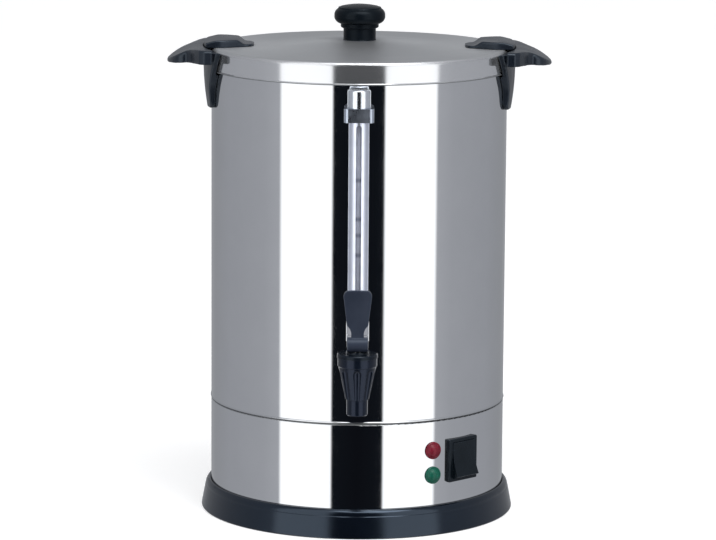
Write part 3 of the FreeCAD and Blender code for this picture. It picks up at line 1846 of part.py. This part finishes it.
def build():
    os.makedirs("parts", exist_ok=True)
    right_handle = handle()
    right_ear = lid_ear()
    pieces = {
        "tank": tank(),
        "lower_housing": lower_housing(),
        "base_skirt": base_skirt(),
        "bottom_cover": bottom_cover(),
        "feet": feet(),
        "cover_screws": cover_screws(),
        "tie_rods": tie_rods(),
        "tie_nuts": tie_nuts(),
        "lid": lid(),
        "lid_knob": lid_knob(),
        "knob_washer": knob_washer(),
        "knob_screw": knob_screw(),
        "lid_ear_right": right_ear,
        "lid_ear_left": mirrored(right_ear),
        "ear_rivets": ear_rivets(),
        "handle_right": right_handle,
        "handle_left": mirrored(right_handle),
        "handle_screws": handle_screws(),
        "handle_seals": handle_seals(),
        "gauge_glass": gauge_glass(),
        "gauge_guard": gauge_guard(),
        "gauge_bushes": gauge_bushes(),
        "gauge_bracket": gauge_bracket(),
        "gauge_cap": gauge_cap(),
        "gauge_socket": gauge_socket(),
        "gauge_packing": gauge_packing(),
        "tap_body": tap_body(),
        "tap_outer_gasket": tap_outer_gasket(),
        "tap_inner_gasket": tap_inner_gasket(),
        "tap_nut": tap_nut(),
        "tap_bonnet": tap_bonnet(),
        "tap_stem": tap_stem(),
        "tap_seat_cup": tap_seat_cup(),
        "tap_spring": tap_spring(),
        "tap_pin": tap_pin(),
        "tap_lever": tap_lever(),
        "red_lamp_lens": lamp_lens(red_lamp_height),
        "green_lamp_lens": lamp_lens(green_lamp_height),
        "lamp_bodies": lamp_bodies(),
        "lamp_clips": lamp_clips(),
        "switch_body": switch_body(),
        "switch_terminals": switch_terminals(),
        "switch_rocker": switch_rocker(),
        "power_inlet": power_inlet(),
        "inlet_pins": inlet_pins(),
        "inlet_screws": inlet_screws(),
        "pump_tube": pump_tube(),
        "pump_foot": pump_foot(),
        "pump_valve": pump_valve(),
        "basket": basket(),
        "basket_cover": basket_cover(),
        "heat_spreader": heat_spreader(),
        "boil_element": element(heat_plate_outer - boil_inset, boil_rod, boil_opening),
        "warm_element": element(heat_plate_inner + warm_inset, warm_rod, warm_opening),
        "boil_thermostat": thermostat(60),
        "warm_thermostat": thermostat(300),
        "thermal_cutout": thermal_cutout(),
        "terminal_block": terminal_block(),
    }
    for name, shape in pieces.items():
        save(name, shape)


build()
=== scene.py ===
import math

import bpy
from mathutils import Matrix, Vector


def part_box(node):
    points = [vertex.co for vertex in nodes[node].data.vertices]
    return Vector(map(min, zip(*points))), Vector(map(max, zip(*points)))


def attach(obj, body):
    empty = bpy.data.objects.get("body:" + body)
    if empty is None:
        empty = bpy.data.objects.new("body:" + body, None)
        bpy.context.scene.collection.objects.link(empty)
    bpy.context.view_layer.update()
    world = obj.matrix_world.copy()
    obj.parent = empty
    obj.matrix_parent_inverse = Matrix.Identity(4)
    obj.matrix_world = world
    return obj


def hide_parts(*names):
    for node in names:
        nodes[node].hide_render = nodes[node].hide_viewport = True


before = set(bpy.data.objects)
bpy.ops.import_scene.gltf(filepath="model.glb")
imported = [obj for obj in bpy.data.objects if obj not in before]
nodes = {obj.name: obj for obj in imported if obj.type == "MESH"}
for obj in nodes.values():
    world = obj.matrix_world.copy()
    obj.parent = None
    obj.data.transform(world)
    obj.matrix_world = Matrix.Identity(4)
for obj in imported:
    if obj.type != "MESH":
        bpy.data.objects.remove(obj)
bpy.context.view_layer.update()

# Coffee urn in metres, in the frame of its solids: +Z up, the tap on -Y, the table at z = 0.

scene = bpy.context.scene

# Radius and heights of the solids
BODY_RADIUS = -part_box("lower_housing")[0][0]
RIM_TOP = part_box("tank")[1][2]
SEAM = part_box("lower_housing")[1][2]
LID_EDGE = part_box("lid")[0][2]

# The brushed roof of the lid begins this far below the tank's rim, and is full this far above it
ROOF_BELOW = 0.003
ROOF_ABOVE = 0.0012

# Half width of the dull band of painted shade along a seam: where it is full, and where it ends
SEAM_SHADE_FULL = 0.0007
SEAM_SHADE_END = 0.0013

# Heights of the marks on the sight tube, and each mark's half width, full and at its end
LEVEL_MARKS = (0.2541, 0.2716, 0.2856, 0.3195)
MARK_FULL = 0.0006
MARK_END = 0.0028

# Moulded edges with a painted highlight: the radius that rounds their normals, and the cosine between the
# rounded and the true normal where the highlight starts, and where it is full
EDGE_HIGHLIGHT_RADIUS = 0.0008
EDGE_HIGHLIGHT_START = 0.995
EDGE_HIGHLIGHT_FULL = 0.86

# Colours of the steel: two tones of sheet, the lid's roof, and the painted shade along a seam or edge
SHEET_TONES = (0.580, 0.592, 0.612), (0.605, 0.617, 0.636)
ROOF_TONE = (0.475, 0.486, 0.500)
SEAM_SHADE_TONE = (0.24, 0.25, 0.26)

# Camera: place in metres, angles in degrees, and the lens in millimetres for a frame 36 mm wide
CAMERA_PLACE = (0.0, -3.3382, 0.782)
CAMERA_DIP = 9.624
CAMERA_ROLL = 0.404
CAMERA_LENS = 188.24
FRAME_WIDTH = 36.0

# Brightness of the lit fields, and the surroundings by degrees from the front, alike on both sides:
# dark gap, lit field, grey room
LIT = 1.75
SURROUNDINGS = (
    (0.0, (0.006, 0.007, 0.010)),
    (19.4, (0.008, 0.010, 0.014)),
    (20.7, (LIT, LIT, LIT)),
    (61.6, (LIT, LIT, LIT)),
    (64.0, (0.55, 0.56, 0.59)),
    (78.0, (0.49, 0.50, 0.53)),
    (120.0, (0.44, 0.45, 0.48)),
    (150.0, (0.36, 0.37, 0.39)),
    (180.0, (0.36, 0.37, 0.39)),
)

# Floor: its radius, its sides, how far it lies below the feet, and its glow
FLOOR_REACH = 60.0
FLOOR_SIDES = 96
FLOOR_DROP = 0.0002
FLOOR_GLOW = 0.55


# Node helpers

class Tree:
    """A node tree, with short calls for what the finishes and the surroundings share."""

    def __init__(self, owner):
        owner.use_nodes = True
        self.tree = owner.node_tree
        self.tree.nodes.clear()

    def node(self, kind, **settings):
        made = self.tree.nodes.new(kind)
        for key, value in settings.items():
            setattr(made, key, value)
        return made

    def link(self, source, target):
        self.tree.links.new(source, target)

    def feed(self, value, socket):
        """The value given to a socket: another node's output, a colour, or a plain number."""
        if isinstance(value, bpy.types.NodeSocket):
            self.link(value, socket)
        elif isinstance(value, tuple):
            socket.default_value = (*value, 1.0)
        else:
            socket.default_value = value

    def maths(self, operation, first, second=0.0, clamp=False):
        made = self.node("ShaderNodeMath", operation=operation, use_clamp=clamp)
        self.feed(first, made.inputs[0])
        self.feed(second, made.inputs[1])
        return made.outputs[0]

    def parts(self, source):
        """The X, Y and Z of a vector."""
        made = self.node("ShaderNodeSeparateXYZ")
        self.link(source, made.inputs[0])
        return made.outputs


class Shader(Tree):
    """One material, with short calls for the nodes that the finishes share."""

    def __init__(self, name):
        self.material = bpy.data.materials.new(name)
        super().__init__(self.material)
        self.surface = self.node("ShaderNodeBsdfPrincipled")
        self.output = self.node("ShaderNodeOutputMaterial")
        self.link(self.surface.outputs[0], self.output.inputs["Surface"])
        self.place = self.node("ShaderNodeTexCoord").outputs["Object"]

    def set(self, **values):
        for key, value in values.items():
            self.surface.inputs[key.replace("_", " ")].default_value = value

    def around_axis(self):
        """Coordinates along a round wall: way round in metres, height, radius."""
        parts = self.parts(self.place)
        turn = self.maths("ARCTAN2", parts["Y"], parts["X"])
        across = self.maths("POWER", parts["X"], 2.0)
        along = self.maths("POWER", parts["Y"], 2.0)
        joined = self.node("ShaderNodeCombineXYZ")
        self.link(self.maths("MULTIPLY", turn, BODY_RADIUS), joined.inputs["X"])
        self.link(parts["Z"], joined.inputs["Y"])
        self.link(self.maths("SQRT", self.maths("ADD", across, along)), joined.inputs["Z"])
        return joined.outputs[0]

    def stretched(self, source, x, y, z):
        made = self.node("ShaderNodeVectorMath", operation="MULTIPLY")
        self.link(source, made.inputs[0])
        made.inputs[1].default_value = (x, y, z)
        return made.outputs[0]

    def noise(self, source, scale, detail, roughness=0.5):
        made = self.node("ShaderNodeTexNoise")
        self.link(source, made.inputs["Vector"])
        made.inputs["Scale"].default_value = scale
        made.inputs["Detail"].default_value = detail
        made.inputs["Roughness"].default_value = roughness
        return made.outputs["Fac"]

    def range(self, source, low, high, start, end):
        """The value drawn from low..high to start..end, and held there."""
        made = self.node("ShaderNodeMapRange", clamp=True)
        self.link(source, made.inputs["Value"])
        for name, value in (("From Min", low), ("From Max", high), ("To Min", start), ("To Max", end)):
            made.inputs[name].default_value = value
        return made.outputs[0]

    def band(self, height, level, full, end):
        """A band along a level: 1 within its full half width, and 0 from its end on."""
        away = self.maths("ABSOLUTE", self.maths("SUBTRACT", height, level))
        return self.range(away, full, end, 1.0, 0.0)

    def mean(self, first, second):
        return self.maths("ADD", self.maths("MULTIPLY", first, 0.5), self.maths("MULTIPLY", second, 0.5))

    def blend(self, share, first, second):
        """The first value where the share is 1, and the second where it is 0."""
        rest = self.maths("SUBTRACT", 1.0, share)
        return self.maths("ADD", self.maths("MULTIPLY", share, first), self.maths("MULTIPLY", rest, second))

    def mixed(self, factor, first, second):
        """The first colour where the factor is 0, and the second where it is 1."""
        made = self.node("ShaderNodeMix", data_type="RGBA")
        self.link(factor, made.inputs[0])
        self.feed(first, made.inputs[6])
        self.feed(second, made.inputs[7])
        return made.outputs[2]

    def bump(self, height, depth, strength):
        made = self.node("ShaderNodeBump")
        made.inputs["Strength"].default_value = strength
        made.inputs["Distance"].default_value = depth
        self.link(height, made.inputs["Height"])
        return made.outputs[0]

    def edges(self, radius):
        """Mask of the edges: where a rounded normal departs from the true one."""
        rounded = self.node("ShaderNodeBevel", samples=4)
        rounded.inputs["Radius"].default_value = radius
        true = self.node("ShaderNodeNewGeometry")
        dot = self.node("ShaderNodeVectorMath", operation="DOT_PRODUCT")
        self.link(rounded.outputs[0], dot.inputs[0])
        self.link(true.outputs["Normal"], dot.inputs[1])
        return self.range(dot.outputs["Value"], EDGE_HIGHLIGHT_START, EDGE_HIGHLIGHT_FULL, 0.0, 1.0)

    def colour(self, source):
        self.link(source, self.surface.inputs["Base Color"])

    def rough(self, source):
        self.link(source, self.surface.inputs["Roughness"])

    def normal(self, source):
        self.link(source, self.surface.inputs["Normal"])


# Finishes

def sheet_steel(name, wall, top=None, grain_depth=0.000004, metal=1.0, seam_shade_at=SEAM):
    """Stainless sheet: fine lines round the urn, faint clouds in its polish and handling marks. Where a
    top is given, the sheet's roof above the rim is brushed to that range, and the wall stays brighter.
    The seam or edge at the given height is left dull, with painted shade along it."""
    s = Shader(name)
    s.set(Metallic=metal, Anisotropic=0.35)
    round_wall = s.around_axis()
    height = s.parts(s.place)["Z"]
    lines = s.noise(s.stretched(round_wall, 8.0, 2400.0, 40.0), 1.0, 2.0)
    clouds = s.noise(s.place, 22.0, 4.0, 0.6)
    marks = s.noise(s.stretched(round_wall, 60.0, 150.0, 60.0), 1.0, 5.0, 0.7)
    sheet = s.mixed(s.range(clouds, 0.3, 0.7, 0.0, 1.0), *SHEET_TONES)
    shine = s.range(s.mean(lines, clouds), 0.35, 0.65, *wall)
    grain = lines
    if top is not None:
        roof = s.range(height, RIM_TOP - ROOF_BELOW, RIM_TOP + ROOF_ABOVE, 0.0, 1.0)
        brushed = s.noise(s.stretched(round_wall, 6.0, 40.0, 2600.0), 1.0, 2.0)
        dull = s.range(s.mean(brushed, clouds), 0.35, 0.65, *top)
        sheet = s.mixed(roof, sheet, ROOF_TONE)
        shine = s.blend(roof, dull, shine)
        grain = s.blend(roof, brushed, lines)
    worn = s.range(marks, 0.62, 0.78, 0.0, 0.05)
    # Painted shade: a dark band along the seam or edge at the given height, where the gap lies in shade.
    seam_shade = s.band(height, seam_shade_at, SEAM_SHADE_FULL, SEAM_SHADE_END)
    s.rough(s.maths("ADD", s.maths("ADD", shine, worn), s.maths("MULTIPLY", seam_shade, 0.4)))
    s.colour(s.mixed(seam_shade, sheet, SEAM_SHADE_TONE))
    s.normal(s.bump(grain, grain_depth, 0.35))
    tangent = s.node("ShaderNodeTangent", direction_type="RADIAL", axis="Z")
    s.link(tangent.outputs[0], s.surface.inputs["Tangent"])
    return s.material


def moulding(name, dark, light, low, high, gloss=0.42, tint=(0.76, 0.88, 1.0)):
    """Moulded dark plastic: fine texture, uneven sheen, edges a little smoother and with a painted
    highlight.
    """
    s = Shader(name)
    s.set(Specular_IOR_Level=gloss, Specular_Tint=(*tint, 1.0), IOR=1.49)
    fine = s.noise(s.place, 900.0, 2.0, 0.6)
    flow = s.noise(s.place, 28.0, 3.0, 0.55)
    # Edge mask: it makes the edges a little smoother and carries the painted highlight.
    highlit_edges = s.edges(EDGE_HIGHLIGHT_RADIUS)
    sheen = s.range(flow, 0.35, 0.65, low, high)
    s.rough(s.maths("SUBTRACT", sheen, s.maths("MULTIPLY", highlit_edges, 0.1), clamp=True))
    tone = s.mixed(s.range(flow, 0.3, 0.7, 0.0, 1.0), dark, light)
    # Painted highlight: a paler tone mixed in along the edges.
    highlight_tone = tuple(2.6 * v + 0.012 for v in light)
    s.colour(s.mixed(s.maths("MULTIPLY", highlit_edges, 0.55), tone, highlight_tone))
    s.normal(s.bump(fine, 0.00006, 0.5))
    return s.material


def plated(name, colour, low, high):
    """Plate over turned metal: rings from the tool and faint clouds."""
    s = Shader(name)
    s.set(Metallic=1.0)
    rings = s.noise(s.stretched(s.place, 60.0, 60.0, 3500.0), 1.0, 2.0)
    clouds = s.noise(s.place, 90.0, 4.0, 0.6)
    s.rough(s.range(clouds, 0.35, 0.65, low, high))
    dull = tuple(0.9 * v for v in colour)
    s.colour(s.mixed(s.range(clouds, 0.35, 0.7, 0.0, 1.0), colour, dull))
    s.normal(s.bump(rings, 0.00003, 0.4))
    return s.material


def sight_glass(name):
    """Drawn glass tube: milky with scale, faint draw lines, and a few small dark level marks."""
    s = Shader(name)
    s.set(Transmission_Weight=0.3, IOR=1.47)
    height = s.parts(s.place)["Z"]
    lines = s.noise(s.stretched(s.place, 900.0, 900.0, 6.0), 1.0, 2.0)
    scale = s.noise(s.place, 140.0, 4.0, 0.65)
    marks = 0.0
    for level in LEVEL_MARKS:
        marks = s.maths("MAXIMUM", marks, s.band(height, level, MARK_FULL, MARK_END))
    milk = s.mixed(s.range(scale, 0.35, 0.7, 0.0, 1.0), (0.68, 0.71, 0.84), (0.78, 0.81, 0.92))
    s.colour(s.mixed(s.maths("MULTIPLY", marks, 0.55), milk, (0.08, 0.10, 0.20)))
    s.rough(s.range(scale, 0.4, 0.75, 0.10, 0.24))
    s.normal(s.bump(lines, 0.00004, 0.3))
    return s.material


def matt_skin(name, dark, light, low, high):
    """Rubber and other matt moulded pieces: fine texture under a thin, uneven dust."""
    s = Shader(name)
    s.set(Specular_IOR_Level=0.35)
    fine = s.noise(s.place, 1200.0, 3.0, 0.6)
    dust = s.noise(s.place, 120.0, 4.0, 0.6)
    s.rough(s.range(dust, 0.3, 0.7, low, high))
    s.colour(s.mixed(s.range(dust, 0.35, 0.7, 0.0, 1.0), dark, light))
    s.normal(s.bump(fine, 0.00008, 0.6))
    return s.material


def plain_metal(name, colour, low, high):
    """Fixings and cast or drawn metal: tarnish clouds and fine scratches."""
    s = Shader(name)
    s.set(Metallic=1.0)
    clouds = s.noise(s.place, 160.0, 5.0, 0.6)
    scratch = s.noise(s.stretched(s.place, 1600.0, 120.0, 300.0), 1.0, 2.0)
    s.rough(s.range(clouds, 0.3, 0.7, low, high))
    darker = tuple(0.72 * v for v in colour)
    s.colour(s.mixed(s.range(clouds, 0.35, 0.75, 0.0, 1.0), colour, darker))
    s.normal(s.bump(scratch, 0.00004, 0.4))
    return s.material


def lamp_lens(name, colour, deep):
    """Moulded lamp lens: a deep tint in small cells, under a satin skin."""
    s = Shader(name)
    s.set(Specular_IOR_Level=0.22, Coat_Weight=0.08, Coat_Roughness=0.25)
    cells = s.node("ShaderNodeTexVoronoi", feature="SMOOTH_F1")
    cells.inputs["Scale"].default_value = 420.0
    s.link(s.place, cells.inputs["Vector"])
    clouds = s.noise(s.place, 260.0, 3.0)
    pattern = s.maths("ADD", cells.outputs["Distance"], s.maths("MULTIPLY", clouds, 0.4))
    s.colour(s.mixed(s.range(pattern, 0.15, 0.95, 0.0, 1.0), deep, colour))
    s.rough(s.range(clouds, 0.3, 0.7, 0.36, 0.46))
    s.normal(s.bump(cells.outputs["Distance"], 0.0001, 0.25))
    return s.material


finishes = {
    "polished_steel": sheet_steel("polished_sheet", wall=(0.028, 0.065)),
    "lid_steel": sheet_steel("satin_sheet", wall=(0.07, 0.12), top=(0.40, 0.50), grain_depth=0.000008,
                             metal=0.88, seam_shade_at=LID_EDGE),
    "black_moulding": moulding("black_moulding_fine", (0.007, 0.010, 0.016), (0.011, 0.015, 0.023),
                               0.24, 0.34),
    "black_frame": moulding("black_frame_fine", (0.003, 0.005, 0.007), (0.005, 0.008, 0.012),
                            0.20, 0.32, gloss=0.25),
    "plating": plated("bright_plate", (0.70, 0.71, 0.74), 0.05, 0.12),
    "satin_plating": plated("satin_plate", (0.74, 0.78, 0.89), 0.32, 0.42),
    "glass": sight_glass("drawn_glass"),
    "rubber": matt_skin("foot_rubber", (0.012, 0.012, 0.013), (0.032, 0.031, 0.030), 0.62, 0.85),
    "silicone": matt_skin("seal_silicone", (0.52, 0.50, 0.47), (0.60, 0.58, 0.55), 0.45, 0.65),
    "fixings": plain_metal("zinc_fixings", (0.55, 0.56, 0.57), 0.22, 0.42),
    "brass": plain_metal("brass_pins", (0.62, 0.46, 0.20), 0.20, 0.38),
    "red_lens": lamp_lens("red_lens_tint", (0.190, 0.006, 0.022), (0.095, 0.003, 0.011)),
    "green_lens": lamp_lens("green_lens_tint", (0.003, 0.115, 0.072), (0.002, 0.058, 0.038)),
    "lamp_shell": matt_skin("lamp_shell_white", (0.50, 0.49, 0.46), (0.58, 0.57, 0.54), 0.35, 0.5),
    "heating": plain_metal("heater_sheath", (0.30, 0.29, 0.28), 0.40, 0.62),
    "spreader": plain_metal("spreader_plate", (0.70, 0.71, 0.72), 0.30, 0.50),
    "thermostat": matt_skin("thermostat_resin", (0.10, 0.085, 0.06), (0.15, 0.125, 0.09), 0.35, 0.55),
}

# Nodes whose finish differs a little from the rest of their slot
own_finish = {
    "base_skirt": moulding("black_skirt_gloss", (0.002, 0.003, 0.006), (0.003, 0.005, 0.009),
                           0.12, 0.18, gloss=0.58, tint=(0.60, 0.77, 1.0)),
    "lid_knob": moulding("black_knob_gloss", (0.002, 0.004, 0.006), (0.004, 0.006, 0.009),
                         0.24, 0.34, gloss=0.10),
    "tap_body": moulding("black_tap_gloss", (0.003, 0.005, 0.010), (0.005, 0.008, 0.015),
                         0.15, 0.23, gloss=0.34, tint=(0.62, 0.72, 1.0)),
    "tap_bonnet": moulding("black_bonnet_gloss", (0.003, 0.005, 0.009), (0.005, 0.008, 0.014),
                           0.20, 0.30, gloss=0.20),
    "tap_lever": moulding("dark_lever_satin", (0.020, 0.026, 0.044), (0.028, 0.035, 0.056),
                          0.36, 0.46, gloss=0.35),
    "gauge_bracket": plated("grey_plate", (0.45, 0.50, 0.59), 0.26, 0.36),
    "gauge_cap": plated("cap_plate", (0.66, 0.70, 0.76), 0.16, 0.24),
}

for name, piece in nodes.items():
    slot = piece.material_slots[0].material.name
    piece.material_slots[0].material = own_finish.get(name, finishes[slot])


# Moulded pieces

def moulded(name, body, voxel, passes):
    """The node's own surface, smooth all over, with the small rounds that a mould leaves at its edges."""
    source = nodes[name]
    piece = bpy.data.objects.new(name + "_moulded", source.data.copy())
    scene.collection.objects.link(piece)
    remesh = piece.modifiers.new("remesh", "REMESH")
    remesh.mode = "VOXEL"
    remesh.voxel_size = voxel
    remesh.use_smooth_shade = True
    ease = piece.modifiers.new("ease", "SMOOTH")
    ease.factor = 0.5
    ease.iterations = passes
    view = bpy.context.evaluated_depsgraph_get()
    mesh = bpy.data.meshes.new_from_object(piece.evaluated_get(view))
    piece.modifiers.clear()
    piece.data = mesh
    mesh.name = name + "_moulded"
    mesh.materials.clear()
    mesh.materials.append(source.material_slots[0].material)
    mesh.shade_smooth()
    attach(piece, body)
    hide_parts(name)


for side in ("left", "right"):
    moulded("handle_" + side, "urn", voxel=0.0006, passes=5)
    moulded("lid_ear_" + side, "lid_set", voxel=0.0005, passes=4)
moulded("tap_lever", "lever", voxel=0.0004, passes=4)


# Camera

def place_camera():
    data = bpy.data.cameras.new("camera")
    data.sensor_width = FRAME_WIDTH
    data.lens = CAMERA_LENS
    data.clip_start = 0.1
    data.clip_end = 200.0
    camera = bpy.data.objects.new("camera", data)
    scene.collection.objects.link(camera)
    tilt = Matrix.Rotation(math.radians(90.0 - CAMERA_DIP), 4, "X")
    roll = Matrix.Rotation(math.radians(CAMERA_ROLL), 4, "Z")
    camera.matrix_world = Matrix.Translation(CAMERA_PLACE) @ tilt @ roll
    scene.camera = camera


# Studio

def build_world():
    """Soft surroundings by their direction round the urn: a dark gap in front, broad light beside it
    on both sides, and a grey room behind. What is seen straight, or through the glass, is white."""
    world = bpy.data.worlds.new("studio")
    scene.world = world
    s = Tree(world)
    output = s.node("ShaderNodeOutputWorld")
    room = s.node("ShaderNodeBackground")
    backdrop = s.node("ShaderNodeBackground")
    mix = s.node("ShaderNodeMixShader")
    path = s.node("ShaderNodeLightPath")
    seen = s.maths("MAXIMUM", path.outputs["Is Camera Ray"], path.outputs["Is Transmission Ray"])
    s.link(seen, mix.inputs[0])
    s.link(room.outputs[0], mix.inputs[1])
    s.link(backdrop.outputs[0], mix.inputs[2])
    s.link(mix.outputs[0], output.inputs[0])
    backdrop.inputs["Color"].default_value = (1.0, 1.0, 1.0, 1.0)
    backdrop.inputs["Strength"].default_value = 1.0

    parts = s.parts(s.node("ShaderNodeTexCoord").outputs["Generated"])
    front = s.maths("MULTIPLY", parts["Y"], -1.0)
    turn = s.maths("ARCTAN2", parts["X"], front)
    share = s.maths("DIVIDE", s.maths("ABSOLUTE", turn), math.pi)
    ramp = s.node("ShaderNodeValToRGB")
    band = ramp.color_ramp
    while len(band.elements) < len(SURROUNDINGS):
        band.elements.new(0.5)
    for element, (angle, colour) in zip(band.elements, SURROUNDINGS):
        element.position = angle / 180.0
        element.color = (*[v / LIT for v in colour], 1.0)
    s.link(share, ramp.inputs[0])
    s.link(ramp.outputs[0], room.inputs["Color"])
    room.inputs["Strength"].default_value = LIT


def soft_lamp(name, place, aim, size, power):
    data = bpy.data.lights.new(name, "AREA")
    data.shape = "DISK"
    data.size = size
    data.energy = power
    lamp = bpy.data.objects.new(name, data)
    scene.collection.objects.link(lamp)
    lamp.location = place
    lamp.rotation_mode = "QUATERNION"
    lamp.rotation_quaternion = (Vector(aim) - Vector(place)).to_track_quat("-Z", "Y")


def lay_floor():
    """Pale floor: it takes the urn's soft shadow and otherwise shows white to the camera. The urn
    doesn't mirror it."""
    mesh = bpy.data.meshes.new("floor")
    rim = []
    for i in range(FLOOR_SIDES):
        turn = 2 * math.pi * i / FLOOR_SIDES
        rim.append((FLOOR_REACH * math.cos(turn), FLOOR_REACH * math.sin(turn), -FLOOR_DROP))
    mesh.from_pydata(rim, [], [tuple(range(FLOOR_SIDES))])
    floor = bpy.data.objects.new("floor", mesh)
    scene.collection.objects.link(floor)
    s = Shader("floor_paint")
    s.set(Roughness=0.9, Specular_IOR_Level=0.0)
    cloud = s.noise(s.place, 3.0, 3.0)
    s.colour(s.mixed(s.range(cloud, 0.3, 0.7, 0.0, 1.0), (0.60, 0.60, 0.60), (0.62, 0.62, 0.62)))
    glow = s.node("ShaderNodeEmission")
    path = s.node("ShaderNodeLightPath")
    seen = s.maths("MAXIMUM", path.outputs["Is Camera Ray"], path.outputs["Is Transmission Ray"])
    s.link(s.maths("MULTIPLY", seen, FLOOR_GLOW), glow.inputs["Strength"])
    both = s.node("ShaderNodeAddShader")
    s.link(s.surface.outputs[0], both.inputs[0])
    s.link(glow.outputs[0], both.inputs[1])
    s.link(both.outputs[0], s.output.inputs["Surface"])
    mesh.materials.append(s.material)
    floor.visible_glossy = False


place_camera()
build_world()
lay_floor()
soft_lamp("over", place=(0.5, -1.4, 3.0), aim=(0.0, 0.0, 0.2), size=2.4, power=60.0)
scene.view_settings.view_transform = "Standard"
